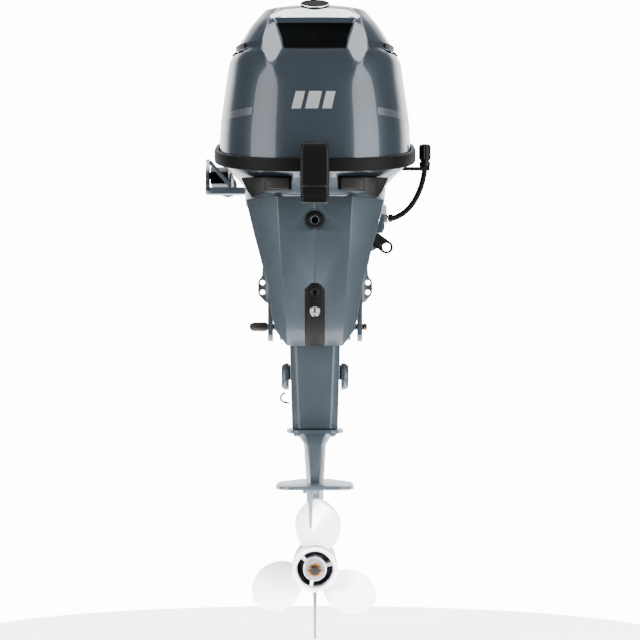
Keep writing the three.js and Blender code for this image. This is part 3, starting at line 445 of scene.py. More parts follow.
# %% [markdown]
# ## The top cowl
# The cowl is one moulded cover with feature lines: an intake in the rear of its hood, a facet on each side
# of the intake, a roof edge, and a drip scoop along each side. It could be cut from a block, but a skin over
# formers follows such a shape better: each former is a ring of points, the feature lines are creased, and
# a subdivision surface rounds all the rest.

# %% Formers
SQUARENESS = 2.8  # exponent of the squared ellipse that each ring follows


def ring_point(ring, degrees, inset=0.0):
    """A point on a ring [rear height, front height, rear, front, half width], 0 degrees at the rear."""
    rear_z, front_z, rear_y, front_y, half = ring
    turn = math.radians(degrees)
    squared = [math.copysign(abs(v) ** (2 / SQUARENESS), v) for v in (math.sin(turn), math.cos(turn))]
    x = (half - inset) * squared[0]
    y = (rear_y + front_y) / 2 - ((front_y - rear_y) / 2 - inset) * squared[1]
    z = rear_z + (front_z - rear_z) * (y - rear_y) / (front_y - rear_y)
    return Vector((x, y, z)) * MM


FORMER_DEGREES = [0, 12, 20, 33, 46, 60, 76, 95, 120, 145, 165, 180]
# [ring, {point: place}] from the parting line to the middle of the roof; listed points leave the ring.
FORMERS = [
    [(103, 170, -418, 92, 166), {}],
    [(106, 172, -418.5, 92, 166), {}],
    [(150, 195, -421, 92, 165), {}],
    [(200, 225, -417, 86, 160), {}],
    [(240, 252, -410, 77, 154.5), {}],
    [(260, 266, -405, 70, 152), {1: (70, -402.5, 259), 2: (74.5, -401, 260)}],
    [(281, 282, -400, 58.5, 149.5), {0: (0, -401, 286), 1: (57, -398.5, 284), 2: (83, -388.6, 281)}],
    [(290, 290.5, -398, 52, 143), {0: (0, -399, 289), 1: (54, -396.5, 290), 2: (87, -385, 286)}],
    [(299, 298, -395, 50, 132), {0: (0, -396, 300), 1: (56, -391.5, 301), 2: (87.5, -380.3, 297)}],
    [(307, 305, -394, 48, 135), {0: (0, -394, 309), 1: (58.5, -387, 310), 2: (87, -376.4, 307)}],
    [(325, 320, -385, 24, 123.5), {0: (0, -386, 328), 1: (64, -378, 328), 2: (80, -370.6, 328)}],
    [(343, 339, -369, -4, 112), {0: (0, -372, 346), 1: (69, -368, 345), 2: (75, -365.5, 344)}],
    [(355, 353, -354, -26, 100), {0: (0, -358, 354), 1: (44, -356, 353), 2: (76, -346, 355)}],
    [(366, 366, -338, -50, 90), {0: (0, -342, 364), 1: (32, -341, 363), 2: (58, -335, 364)}],
    [(370, 370, -322, -70, 78), {0: (0, -322, 371), 1: (31, -322, 370), 2: (50, -318, 369)}],
    [(373, 372, -285, -120, 50), {0: (0, -285, 374.5), 1: (27, -284, 374), 2: (35, -282, 373)}],
    [(373, 371, -258, -180, 24), {0: (0, -258, 375), 1: (14, -257, 374.6), 2: (18, -254, 374)}],
]
PER_RING = 2 * (len(FORMER_DEGREES) - 1)


def former(ring, places):
    half = []
    for i, degrees in enumerate(FORMER_DEGREES):
        half.append(Vector(places[i]) * MM if i in places else ring_point(ring, degrees))
    return half + [Vector((-p.x, p.y, p.z)) for p in half[-2:0:-1]]


rows = [former(*entry) for entry in FORMERS]
HOLE_ROWS = range(7, 11)  # the intake lies between these formers, and inside the second point on each side
print(len(rows), "formers of", PER_RING, "points")

# %% Cowl cage
cage_points = [p for row in rows for p in row]
cage_faces = []
for r in range(len(rows) - 1):
    for i in range(PER_RING):
        if r in HOLE_ROWS and i in (0, PER_RING - 1):
            continue
        a, b = r * PER_RING + i, r * PER_RING + (i + 1) % PER_RING
        cage_faces.append((a, b, b + PER_RING, a + PER_RING))
last = (len(rows) - 1) * PER_RING
cage_faces.append(tuple(range(last, last + PER_RING)))

# The intake's lip turns in, a little at the foot and sides and more under the brow, then runs forward.
LIP = [  # place on the rim: (row, point), then x, y and z of the inner edge for the starboard half
    [(7, 0), (0, -394, 290.5)], [(7, 1), (50.5, -391, 291.5)], [(8, 1), (52.5, -388, 301)],
    [(9, 1), (54.6, -385, 311)], [(10, 1), (60.5, -377, 328)], [(11, 1), (63.5, -368, 336)],
    [(11, 0), (0, -371, 336.5)],
]
rim = [row * PER_RING + point for (row, point), _ in LIP]
rim += [row * PER_RING + PER_RING - point for (row, point), _ in LIP[-2:0:-1]]
for depth in (0, 14):
    inner = [Vector((x, y + depth, z)) * MM for _, (x, y, z) in LIP]
    inner += [Vector((-p.x, p.y, p.z)) for p in inner[-2:0:-1]]
    start = len(cage_points)
    cage_points += inner
    count = len(inner)
    outer_loop = rim if depth == 0 else [start - count + i for i in range(count)]
    for i in range(count):
        j = (i + 1) % count
        cage_faces.append((outer_loop[i], outer_loop[j], start + j, start + i))

CREASES = {}


def crease(a, b, weight):
    CREASES[(min(a, b), max(a, b))] = weight


def crease_ring(row, first, final, weight):
    """Creases a former between two of its points, on both sides."""
    for i in range(first, final):
        for k, m in ((i, i + 1), ((-i) % PER_RING, (-i - 1) % PER_RING)):
            crease(row * PER_RING + k, row * PER_RING + m, weight)


def crease_line(point, first, final, weight):
    """Creases the line through one point of each former, on both sides."""
    for r in range(first, final):
        for k in (point, (-point) % PER_RING):
            crease(r * PER_RING + k, (r + 1) * PER_RING + k, weight)


crease_ring(0, 0, 11, 1.0)
for row, weight in ((7, 0.85), (8, 0.95), (9, 0.9)):
    crease_ring(row, 3, 10, weight)
crease_ring(7, 0, 1, 1.0)
crease_ring(11, 0, 1, 1.0)
crease_line(1, 7, 11, 1.0)
crease_line(1, 5, 7, 0.85)
crease_line(2, 5, 12, 0.9)
crease_line(5, 9, 13, 0.5)
crease_ring(13, 2, 10, 0.95)
crease_line(1, 12, 15, 0.8)
crease_ring(12, 1, 2, 0.5)
inner_edge = len(cage_points) - 2 * len(rim)
for i in range(len(rim)):
    crease(inner_edge + i, inner_edge + (i + 1) % len(rim), 0.9)
    if rim[i] // PER_RING in (7, 11) and rim[i] % PER_RING:
        crease(rim[i], inner_edge + i, 0.9)
        crease(inner_edge + i, inner_edge + len(rim) + i, 0.9)
print(len(CREASES), "creased edges")

# %% Cowl shell
cowl = mesh_piece("top_cowl_shell", cage_points, cage_faces)
layer = cowl.data.attributes.new("crease_edge", "FLOAT", "EDGE")
for edge in cowl.data.edges:
    layer.data[edge.index].value = CREASES.get((min(edge.vertices), max(edge.vertices)), 0.0)
apply_modifier(cowl, "SUBSURF", levels=3, render_levels=3)
apply_modifier(cowl, "SOLIDIFY", thickness=0.003, offset=-1.0)
settle(cowl, "top_cowl_shell", "top_cowling", "blue_grey_paint", METALLIC_PAINT, ("top_cowl",),
       smooth_deg=28)
print("cowl", len(cowl.data.polygons), "faces")

# %% [markdown]
# ## Parts whose CAD shape is already right
# Castings, shafts, screws and brackets have their final shape in CAD, but with knife-sharp edges. A copy of
# each is welded, its flat faces are cleaned of leftover edges, and its corners get the round that a mould
# or a deburring tool leaves.

# %% Refined copies
def refined(node, round_mm=0.8, material=None, smooth_deg=32):
    source = nodes[node]
    piece = source.copy()
    piece.data = source.data.copy()
    piece.parent = None
    for key in list(piece.keys()):
        del piece[key]
    bpy.context.scene.collection.objects.link(piece)
    activate(piece)
    bpy.ops.object.mode_set(mode="EDIT")
    bpy.ops.mesh.select_all(action="SELECT")
    bpy.ops.mesh.remove_doubles(threshold=2e-5)
    bpy.ops.mesh.dissolve_limited(angle_limit=math.radians(1.0))
    bpy.ops.object.mode_set(mode="OBJECT")
    return settle(piece, node + "_fine", source["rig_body"], SLOT_OF[node], material, (node,), round_mm, 2,
                  smooth_deg)


ROUND_MM = {
    "clamp_bracket_port": 1.5, "clamp_bracket_starboard": 1.5, "tilt_tube": 0.6, "tilt_nut_port": 1.0,
    "tilt_nut_starboard": 1.5, "rope_eye": 0.7, "clamp_pad_port": 0.8,
    "clamp_pad_starboard": 0.8, "clamp_screw_port": 1.2, "clamp_screw_starboard": 1.2, "swivel_bracket": 1.5,
    "steering_bush_upper": 0.4, "steering_bush_lower": 0.4, "tilt_support_lever": 1.0,
    "steering_bracket": 1.5, "upper_mount_port": 0.8, "upper_mount_starboard": 0.8, "lower_mount_yoke": 2.0,
    "water_pump_housing": 1.0, "cylinder_block": 2.0, "cylinder_head": 2.5, "flywheel": 0.8,
    "recoil_housing": 1.0, "drive_shaft": 0.5, "propeller_shaft": 0.5, "shift_rod": 0.4, "clutch_dog": 0.2,
    "flush_inlet": 1.5, "shift_lever": 1.5, "starter_handle": 3.0, "choke_knob": 1.2, "stop_button": 0.6,
    "trim_tab": 0.8,
}
for part, size in ROUND_MM.items():
    refined(part, size, BLACK_STEEL if part == "propeller_shaft" else None)
for part in ("pinion_gear", "forward_gear", "reverse_gear", "pump_impeller", "starter_rope", "ground_lead"):
    refined(part, 0.0)
print(len(ROUND_MM), "refined parts")

# %% [markdown]
# ## Marks on the cowl
# The real cowl wears a few silver foil marks. Here they are plain shapes: three slanted bars at the rear and
# one level stripe along each side. Each starts as a flat grid near the cowl, is shrunk onto the paint with
# a shrinkwrap, and gets the thickness of a film.

# %% Film marks
FILM_LIFT = 0.00025


def grid_piece(name, lines):
    """A sheet from lines of points, all of the same count."""
    count = len(lines[0])
    faces = []
    for r in range(len(lines) - 1):
        for i in range(count - 1):
            a = r * count + i
            faces.append((a, a + 1, a + 1 + count, a + count))
    return mesh_piece(name, [p for line in lines for p in line], faces)


def film(name, lines, method, material):
    piece = grid_piece(name, lines)
    settings = {"use_project_y": True, "use_negative_direction": True} if method == "PROJECT" else {}
    apply_modifier(piece, "SHRINKWRAP", target=cowl, wrap_method=method, wrap_mode="OUTSIDE_SURFACE",
                   offset=FILM_LIFT, **settings)
    apply_modifier(piece, "SOLIDIFY", thickness=0.0002, offset=0.0)
    return settle(piece, name, "top_cowling", "steel", material)


BAR_LOW, BAR_HIGH, BAR_LEAN = 0.192, 0.222, 0.007
for i, (left, right) in enumerate([(-0.036, -0.020), (-0.013, 0.009), (0.016, 0.032)]):
    lines = []
    for k in range(9):
        share = k / 8
        z = BAR_LOW + (BAR_HIGH - BAR_LOW) * share
        lean = BAR_LEAN * (share - 0.5)
        lines.append([(left + lean + (right - left) * m / 8, -0.424, z) for m in range(9)])
    film(f"rear_bar_{i + 1}", lines, "NEAREST_SURFACEPOINT", PALE_FILM)

STRIPE_LOW, STRIPE_HIGH, STRIPE_FALL = 0.183, 0.196, 0.011
STRIPE_RING = (190, 190, -420, 88, 161.5)
for name, side in (("port", -1), ("starboard", 1)):
    lines = []
    for k in range(5):
        z = STRIPE_LOW + (STRIPE_HIGH - STRIPE_LOW) * k / 4
        line = []
        for degrees in range(34, 151, 2):
            p = ring_point(STRIPE_RING, degrees)
            line.append((side * p.x, p.y, z - STRIPE_FALL * min(1.0, (degrees - 34) / 56)))
        lines.append(line)
    film(f"side_stripe_{name}", lines, "NEAREST_SURFACEPOINT", SILVER_FILM)
print("film marks on the cowl")

# %% [markdown]
# Along each side of the hood a slot lets rain run off. A black sheet laid in it under the overhang is painted shade:
# it darkens the slot where the overhang shades it.

# %% Scoop liners
SCOOP_SHADE_ROWS = [(293.2, 141.5), (300.4, 133.0), (306.5, 135.4)]  # height at the rear, half width
for name, side in (("port", -1), ("starboard", 1)):
    lines = []
    for rear_z, half in SCOOP_SHADE_ROWS:
        ring = (rear_z, rear_z - 1, -398, 54, half)
        line = []
        for degrees in range(57, 141, 3):
            p = ring_point(ring, degrees)
            line.append((side * p.x, p.y, p.z))
        lines.append(line)
    # Each sheet is painted shade: a black film laid in the scoop under its overhang.
    liner = grid_piece(f"scoop_painted_shade_{name}", lines)
    apply_modifier(liner, "SOLIDIFY", thickness=0.0008, offset=0.0)
    settle(liner, f"scoop_painted_shade_{name}", "top_cowling", "black_plastic", DUCT_AND_SHADE_BLACK)

# %% [markdown]
# The round cap lies on the roof's rear slope, so that it shows from behind: a black puck in a bright ring.

# %% Cap
CAP_PLACE = Matrix.Translation((0.0, -0.320, 0.3695)) @ Matrix.Rotation(math.radians(20), 4, "X")
cap = turned("cap", "z", [(0.0240, -0.0065), (0.0240, 0.0022), (0.0232, 0.0034), (0.0212, 0.0034),
                          (0.0202, 0.0026), (0.010, 0.0032), (0.001, 0.0034)], (0, 0))
ring = turned("ring", "z", [(0.0243, 0.0028), (0.0241, 0.0038), (0.0236, 0.0040), (0.0231, 0.0037),
                            (0.0234, 0.0028), (0.0243, 0.0028)], (0, 0))
for piece in (cap, ring):
    piece.data.transform(CAP_PLACE)
settle(cap, "top_cap_puck", "top_cowling", "black_plastic", SOFT_BLACK, ("top_cap",))
settle(ring, "top_cap_ring", "top_cowling", "steel", CHROME)

# %% [markdown]
# ## The band between the cowls
# A rubber seal closes the joint between the cowls. Its section is carried round the same squared ellipse.

# %% Seal band
def banded(name, profile, ring, steps=144):
    """A closed section of (height, inset) pairs carried round a ring."""
    rear_z, front_z, rear_y, front_y, half = ring
    loops = []
    for height, inset in profile:
        lifted = (rear_z + height, front_z + height, rear_y, front_y, half)
        loops.append([ring_point(lifted, 360 * i / steps, inset) for i in range(steps)])
    return skin(name, loops + [loops[0]], caps=False)


SEAL_RING = (97, 161, -427, 100, 172.6)
seal = banded("seal", [(-11, 2.6), (-10.2, 1.2), (-8, 0.2), (0, 0), (8, 0.2), (10.2, 1.2), (11, 2.6),
                       (11, 7.5), (4.5, 7.5), (4.5, 18), (-3.5, 18), (-3.5, 7.5), (-11, 7.5)], SEAL_RING)
settle(seal, "cowl_seal_band", "top_cowling", "black_rubber", EPDM, ("cowl_seal",))

# %% [markdown]
# ## The bottom cowl
# A tray that flares out in a hollow curve from the apron to the seal. The outside and the inside are two
# skins over rings; the inner one is cut out of the outer, with the hole in its floor for the drive shaft.

# %% Bottom cowl
TRAY_RINGS = [
    (93, 156, -413, 89, 163), (89, 150, -411, 87, 160), (84, 142, -405, 84, 156), (78, 133, -396, 79, 149.5),
    (72, 123, -383, 73, 141), (66, 113, -369, 67, 133.5), (60, 104, -354, 59, 127), (55, 98, -343, 53, 122.5),
    (52, 95, -338, 50, 120.5), (51, 93, -337, 49, 119.6),
]
TRAY_STEPS = 112
WALL_MM = 4


def tray_skin(name, rings, inset, lift):
    loops = []
    for rear_z, front_z, rear_y, front_y, half in rings:
        ring = (rear_z + lift, front_z + lift, rear_y, front_y, half)
        loops.append([ring_point(ring, 360 * i / TRAY_STEPS, inset) for i in range(TRAY_STEPS)])
    return skin(name, loops)


tray = tray_skin("tray", TRAY_RINGS, 0, 0)
hollow = tray_skin("hollow", [(120, 185, -413, 89, 163)] + TRAY_RINGS[:-1], WALL_MM, WALL_MM)
cutters = [hollow, box((-0.077, -0.300, 0.03), (0.077, -0.084, 0.12)),
           rod("y", 0.003, 0.04, 0.12, (0, 0.128)), rod("y", 0.0035, 0.04, 0.12, (-0.046, 0.122)),
           rod("x", 0.0080, 0.06, 0.16, (0.030, 0.118))]


def across(columns, grow=0.0):
    """A bar along X from columns of (x, low, high, rear, front), in millimetres."""
    loops = []
    for x, low, high, rear, front in columns:
        corners = [(rear - grow, low - grow), (rear - grow, high + grow), (front + grow, high + grow),
                   (front + grow, low - grow)]
        loops.append([Vector((x, y, z)) * MM for y, z in corners])
    return skin("bar", loops)


GRIP = [(38, 57, 79.5, -400, -379), (60, 57, 79.5, -397.5, -376), (82, 56, 79.5, -394, -371),
        (90, 50, 79.5, -388, -364), (104, 45, 79.5, -374, -352), (112, 56, 79.5, -366, -346),
        (122, 76, 79.5, -358, -340)]
for side in (-1, 1):
    cutters.append(across([(side * x, *rest) for x, *rest in GRIP], 0.3))
cut_with(tray, cutters)
settle(tray, "bottom_cowl_tray", "motor", "blue_grey_paint", METALLIC_PAINT, ("bottom_cowl",), smooth_deg=30)
arm = box((0.150, -0.160, 0.100), (0.198, -0.140, 0.106))
cut_with(arm, [rod("z", 0.0063, 0.09, 0.11, (0.1895, -0.150))])
settle(arm, "connector_arm", "motor", "black_plastic", BLACK_NYLON, round_mm=0.8)
settle(box((-0.016, -0.424, 0.068), (0.016, -0.372, 0.076)), "latch_keeper", "motor", "blue_grey_paint",
       CAST_PAINT, round_mm=1.0)
lines = []
for share in [0, 0.25, 0.5, 0.75, 1.0]:
    top, foot = (52.5, 95.5, -338.5, 50.5, 121), (51, 26.5, -336, 50, 118.5)
    around = [a + (b - a) * share for a, b in zip(top, foot)]
    lines.append([ring_point(around, -92 + 4 * i, 1.2) for i in range(47)])
skirt = grid_piece("skirt", lines)
apply_modifier(skirt, "SOLIDIFY", thickness=0.004, offset=0.0)
settle(skirt, "bottom_cowl_skirt", "motor", "blue_grey_paint", CAST_PAINT)
print("tray", len(tray.data.polygons), "faces")

# %% [markdown]
# The two rear hand grips are black mouldings under the flare, each with a softer pad set in its bar.

# %% Rear grips
PAD = [(43, 60.5, 76.5, -402.2, -395), (47, 59, 77.5, -402.0, -395), (72, 59, 77.5, -398.8, -392),
       (80, 59, 72, -397.0, -390)]
for name, side in (("port", -1), ("starboard", 1)):
    grip = across([(side * x, *rest) for x, *rest in GRIP])
    settle(grip, f"rear_grip_{name}_moulding", "motor", "black_plastic", BLACK_NYLON, (f"rear_grip_{name}",),
           round_mm=2.0)
    pad = across([(side * x, *rest) for x, *rest in PAD])
    settle(pad, f"rear_grip_{name}_pad", "motor", "black_rubber", GRIP_NYLON, round_mm=1.5)

# %% [markdown]
# ## The latch lever
# A moulded lever over the joint at the rear. Its face has chamfered sides, a top edge that catches the
# light, a step, and a finger lip at the foot. It is lofted from sections, then its cheeks and pin are added.

# %% Latch lever
LEVER = [  # height, half width, rear face
    (134, 19.0, -443.5), (132.5, 21.5, -446.5), (129, 22.8, -449.0), (122, 23.6, -450.4), (110, 24, -450.8),
    (84, 24, -450.6), (66, 23.8, -450.2), (62.5, 23.8, -450), (60.5, 23.6, -447.4), (56, 23.5, -447.0),
    (49, 23.4, -447.2), (45, 23.2, -449.0), (38, 22.8, -452.0), (35, 22.2, -451.8), (33.6, 21.0, -449.5),
]
LEVER_FRONT, LEVER_CHAMFER = -440, 3.6
loops = []
for height, half, rear in LEVER:
    chamfer = min(LEVER_CHAMFER, (LEVER_FRONT - rear) * 0.6)
    outline = [(-half, LEVER_FRONT), (-half, rear + chamfer), (chamfer - half, rear), (half - chamfer, rear),
               (half, rear + chamfer), (half, LEVER_FRONT)]
    loops.append([Vector((x, y, height)) * MM for x, y in outline])
lever = skin("lever", loops)
cheeks = [across([(side * 19.2, 97, 128, -441, -425), (side * 23.6, 97, 128, -441, -425)])
          for side in (-1, 1)]
pin = rod("x", 0.004, -0.0239, 0.0239, (-0.431, 0.120), 32)
for cheek in cheeks:
    for vertex in cheek.data.vertices:
        if vertex.co.y > -0.43 and vertex.co.z < 0.11:
            vertex.co.z = 0.114
join([lever, *cheeks, pin])
settle(lever, "latch_lever", "cowl_lock", "black_plastic", BLACK_NYLON, ("cowl_lock_lever",), round_mm=0.9)

# %% [markdown]
# ## Rear of the apron
# A rubber grommet holds the tell-tale water outlet, and a black plate covers the joint lower down. The plate
# has a raised ring and a bright screw.

# %% Grommet and rear plate
GROMMET = (0.0, 0.0095)
grommet = turned("grommet", "y", [(0.0066, -0.3262), (0.0072, -0.3278), (0.0098, -0.3290), (0.0128, -0.3284),
                                  (0.0148, -0.3262), (0.0150, -0.3140), (0.0066, -0.3140),
                                  (0.0066, -0.3262)], GROMMET)
settle(grommet, "tell_tale_grommet", "motor", "black_rubber", EPDM, ("exhaust_grommet",))
liner = turned("liner", "y", [(0.0066, -0.3250), (0.0066, -0.3284), (0.0072, -0.3289), (0.0074, -0.3283),
                              (0.0060, -0.3240), (0.0066, -0.3250)], GROMMET)
settle(liner, "tell_tale_liner", "motor", "zinc_anode", ZINC)
refined("apron_rear_plate", 1.0)
PLATE_SLOPE = [(-202, -250), (-175, -264), (-151, -273), (-98, -290)]  # height, rear face


def plate_rear(height):
    """The plate's rear face, a millimetre proud of the slope it follows, which leans forward going down."""
    for (low, at_low), (high, at_high) in zip(PLATE_SLOPE, PLATE_SLOPE[1:]):
        if height <= high:
            return (at_low + (at_high - at_low) * (height - low) / (high - low) - 1) * MM
    return (PLATE_SLOPE[-1][1] - 1) * MM


print("plate", [round(plate_rear(height), 4) for height in (-143, -111)])

# %% [markdown]
# ## The propeller
# Three blades on an exhaust hub, painted white. Each blade is lofted from sections at growing radius: a thin
# lens bent round the shaft on a helix, so that every section has the same pitch.

# %% Propeller
PROP_CENTRE = (0.0, -0.576)
BLADE_Y, BLADE_RADIUS, PITCH = -287.0, 116.5, 248.0
SHAFT_Z, SKEW, CAMBER = -576, -7, -3.0  # mm, degrees from root to tip, mm at mid chord
SECTIONS = [(0.30, 33, 7.4), (0.42, 35.5, 6), (0.54, 34, 4.8), (0.66, 30, 3.8), (0.79, 24.5, 3),
            (0.885, 17, 2.4), (0.957, 10, 2), (1.0, 2.5, 1.6)]


def between(table, at):
    """Smooth interpolation in a table whose first column rises."""
    for (a, b) in zip(table, table[1:]):
        if at <= b[0]:
            share = (at - a[0]) / (b[0] - a[0])
            return [p + (q - p) * share for p, q in zip(a[1:], b[1:])]
    return list(table[-1][1:])


BLADE_STEPS = 22
BLADE_SHARES = [0.30 + 0.70 * math.sin(math.pi / 2 * i / BLADE_STEPS) for i in range(BLADE_STEPS + 1)]
CHORD_STEPS = 20


def blade_loop(share, blade_degrees):
    half, thick = between(SECTIONS, share)
    radius = BLADE_RADIUS * share
    skew = SKEW * (share - 0.31)
    loop = []
    for k in range(2 * CHORD_STEPS):
        along = math.cos(math.pi * k / CHORD_STEPS)
        upper = 1 if k < CHORD_STEPS else -1
        clockwise = skew + half * along
        angle = math.radians(blade_degrees - clockwise)
        swell = thick / 2 * math.sqrt(max(0.0, 1 - along * along)) * upper
        camber = CAMBER * (1 - along * along) * min(1.0, share * 1.1)
        y = BLADE_Y + PITCH * clockwise / 360 + swell + camber
        loop.append(Vector((radius * math.cos(angle), y, SHAFT_Z + radius * math.sin(angle))) * MM)
    return loop


blades = [skin("blade", [blade_loop(s, degrees) for s in BLADE_SHARES]) for degrees in (83, 203, 323)]
hub = turned("hub", "y", [(0.0300, -0.2455), (0.0378, -0.2455), (0.0385, -0.2462), (0.0385, -0.3180),
                          (0.0383, -0.3270), (0.0374, -0.3298), (0.0345, -0.3300), (0.0318, -0.3290),
                          (0.0300, -0.3240), (0.0300, -0.2455)], PROP_CENTRE, 96)
core = turned("core", "y", [(0.0103, -0.2460), (0.0200, -0.2460), (0.0200, -0.3170), (0.0192, -0.3205),
                            (0.0170, -0.3220), (0.0103, -0.3220), (0.0103, -0.2460)], PROP_CENTRE, 64)
spokes = []
for degrees in (17, 137, 257):
    spoke = box((0.0185, -0.316, -0.0028), (0.0320, -0.247, 0.0028))
    activate(spoke)
    bpy.ops.object.transform_apply(location=True, rotation=True, scale=True)
    about_shaft = Matrix.Rotation(-math.radians(degrees), 4, "Y")
    spoke.data.transform(Matrix.Translation((0, 0, PROP_CENTRE[1])) @ about_shaft)
    spokes.append(spoke)
join([hub, core, *spokes, *blades])
settle(hub, "propeller_white", "propeller", "white_paint", WHITE_PAINT, ("propeller",), smooth_deg=40)
print("propeller", len(hub.data.polygons), "faces")

# %% Propeller nut
washer = turned("washer", "y", [(0.0075, -0.3312), (0.0150, -0.3312), (0.0155, -0.3320), (0.0150, -0.3334),
                                (0.0075, -0.3334), (0.0075, -0.3312)], PROP_CENTRE, 48)
settle(washer, "propeller_washer", "propeller", "steel", ZINC)
face = turned("face", "y", [(0.0105, -0.3212), (0.0188, -0.3212), (0.0186, -0.3226), (0.0172, -0.3232),
                            (0.0164, -0.3226), (0.0156, -0.3226), (0.0148, -0.3234), (0.0105, -0.3234),
                            (0.0105, -0.3212)], PROP_CENTRE, 64)
settle(face, "propeller_hub_face", "propeller", "cast_alloy", CAST_ALLOY)
nut = rod("y", 0.0126, -0.3336, -0.3425, PROP_CENTRE, 6)
crown = rod("y", 0.0108, -0.3424, -0.3460, PROP_CENTRE, 36)
join([nut, crown])
SLOT_Y = -0.3450
slots = [rod("x", 0.0013, -0.02, 0.02, (SLOT_Y, PROP_CENTRE[1]), 16)]
for degrees in (60, 120):
    slot = rod("x", 0.0013, -0.02, 0.02, (SLOT_Y, 0.0), 16)
    activate(slot)
    bpy.ops.object.transform_apply(location=True, rotation=True, scale=True)
    about_shaft = Matrix.Rotation(math.radians(degrees), 4, "Y")
    slot.data.transform(Matrix.Translation((0, 0, PROP_CENTRE[1])) @ about_shaft)
    slots.append(slot)
cut_with(nut, slots + [rod("y", 0.0073, -0.32, -0.36, PROP_CENTRE, 32)])
settle(nut, "castle_nut", "propeller", "bronze", BRONZE, ("propeller_nut",), round_mm=0.3)
pin = rod("x", 0.0011, -0.0135, 0.0135, (SLOT_Y, PROP_CENTRE[1]), 16)
settle(pin, "cotter_pin", "propeller", "dark_steel", BLACK_STEEL, round_mm=0.3)

# %% [markdown]
# ## Handle, connector and small fittings
# The throttle grip is moulded rubber with long ribs, so its radius follows a wave round the handle.

# %% Throttle grip
GRIP_AXIS = (-0.170, 0.098)
RIBS, GRIP_SIDES = 18, 144
rings = []
for share in [0, 0.006, 0.02, 0.05, 0.09, 0.11, 0.5, 0.86, 0.88, 0.91, 0.95, 0.98, 0.994, 1.0]:
    y = 0.4703 + (0.6160 - 0.4703) * share
    radius = 0.0208 - 0.0033 * share
    if share < 0.03:
        radius -= 0.0015 * (1 - share / 0.03)
    if share > 0.95:
        radius *= math.sqrt(max(0.05, 1 - ((share - 0.95) / 0.052) ** 2))
    depth = 0.0009 if 0.1 < share < 0.87 else 0.0
    ring = []
    for i in range(GRIP_SIDES):
        turn = 2 * math.pi * i / GRIP_SIDES
        r = radius - depth * (0.5 - 0.5 * math.cos(RIBS * turn))
        ring.append((GRIP_AXIS[0] + r * math.cos(turn), y, GRIP_AXIS[1] + r * math.sin(turn)))
    rings.append(ring)
settle(skin("grip", rings), "throttle_grip_ribbed", "throttle_grip", "black_rubber", EPDM, ("throttle_grip",))
refined("tiller_arm", 3.0, smooth_deg=40)

# %% Flushing connector
FLUSH = (0.1895, -0.150)
FLUTES, CONNECTOR_SIDES = 10, 120
rings = []
for radius, z, flute in [(0.0054, 0.1064, 0), (0.0088, 0.1064, 0), (0.0096, 0.1075, 0), (0.0096, 0.1140, 0),
                         (0.0078, 0.1150, 0), (0.0078, 0.1180, 0), (0.0102, 0.1190, 1), (0.0105, 0.1210, 1),
                         (0.0105, 0.1400, 1), (0.0100, 0.1425, 1), (0.0080, 0.1448, 0), (0.0040, 0.1458, 0)]:
    ring = []
    for i in range(CONNECTOR_SIDES):
        turn = 2 * math.pi * i / CONNECTOR_SIDES
        r = radius - 0.0009 * flute * (0.5 - 0.5 * math.cos(FLUTES * turn)) ** 3
        ring.append((FLUSH[0] + r * math.cos(turn), FLUSH[1] + r * math.sin(turn), z))
    rings.append(ring)
settle(skin("connector", rings), "flush_connector_knob", "motor", "black_plastic", BLACK_NYLON,
       ("flush_connector",))
clamp = turned("clamp", "x", [(0.0049, 0.1262), (0.0066, 0.1262), (0.0068, 0.1270), (0.0068, 0.1330),
                              (0.0066, 0.1338), (0.0049, 0.1338), (0.0049, 0.1262)], (HOSE_Y, 0.0176), 40)
settle(clamp, "hose_clip", "motor", "black_plastic", BLACK_NYLON)

# %% [markdown]
# The gearcase and the drive shaft housing are castings, so their copies get generous rounds. Screw heads are added on
# top.

# %% Castings
refined("drive_shaft_housing", 3.0, smooth_deg=36)
refined("gearcase", 1.0, smooth_deg=36)
for half in ("port", "starboard"):
    refined(f"apron_{half}", 1.2, smooth_deg=30)
refined("air_duct", 0.0, DUCT_AND_SHADE_BLACK)


def screw_head(name, axis, radius, start, end, centre, material):
    """A hexagon head on a washer, along an axis."""
    head = rod(axis, radius, start, end, centre, 6)
    collar = rod(axis, radius * 1.35, start, start + (end - start) * 0.3, centre, 32)
    join([head, collar])
    settle(head, name, "motor", "steel", material, round_mm=0.35)


plate_y = plate_rear(-143)
plug = turned("plug", "y", [(0.0001, plate_y + 0.004), (0.0090, plate_y + 0.004), (0.0090, plate_y - 0.0016),
                            (0.0080, plate_y - 0.0028), (0.0064, plate_y - 0.0020), (0.0058, plate_y - 0.0030),
                            (0.0034, plate_y - 0.0044), (0.0001, plate_y - 0.0048)], (0, -0.143), 48)
settle(plug, "rear_plate_screw", "motor", "steel", STAINLESS)
ring_y = plate_rear(-111)
boss = turned("boss", "y", [(0.0045, ring_y), (0.0045, ring_y - 0.0024), (0.0060, ring_y - 0.0032),
                            (0.0082, ring_y - 0.0026), (0.0090, ring_y + 0.002), (0.0045, ring_y + 0.002),
                            (0.0045, ring_y)], (0, -0.111), 48)
settle(boss, "rear_plate_ring", "motor", "black_plastic", BLACK_NYLON)
TRIM_PIN = (-0.030, -0.170)
bar = rod("x", 0.0054, -0.090, 0.0915, TRIM_PIN, 40)
settle(bar, "trim_pin_rod", "trim_pin", "dark_steel", BLACK_STEEL, ("trim_pin",))
knob = turned("knob", "x", [(0.0001, -0.1155), (0.0035, -0.1150), (0.0062, -0.1128), (0.0078, -0.1090),
                            (0.0082, -0.0900), (0.0072, -0.0842), (0.0001, -0.0842)], TRIM_PIN, 48)
settle(knob, "trim_pin_grip", "trim_pin", "black_plastic", GRIP_NYLON)
clip = turned("clip", "x", [(0.0055, 0.0862), (0.0070, 0.0866), (0.0070, 0.0886), (0.0055, 0.0890),
                            (0.0055, 0.0862)], TRIM_PIN, 40)
settle(clip, "trim_pin_clip", "trim_pin", "bronze", BRONZE)
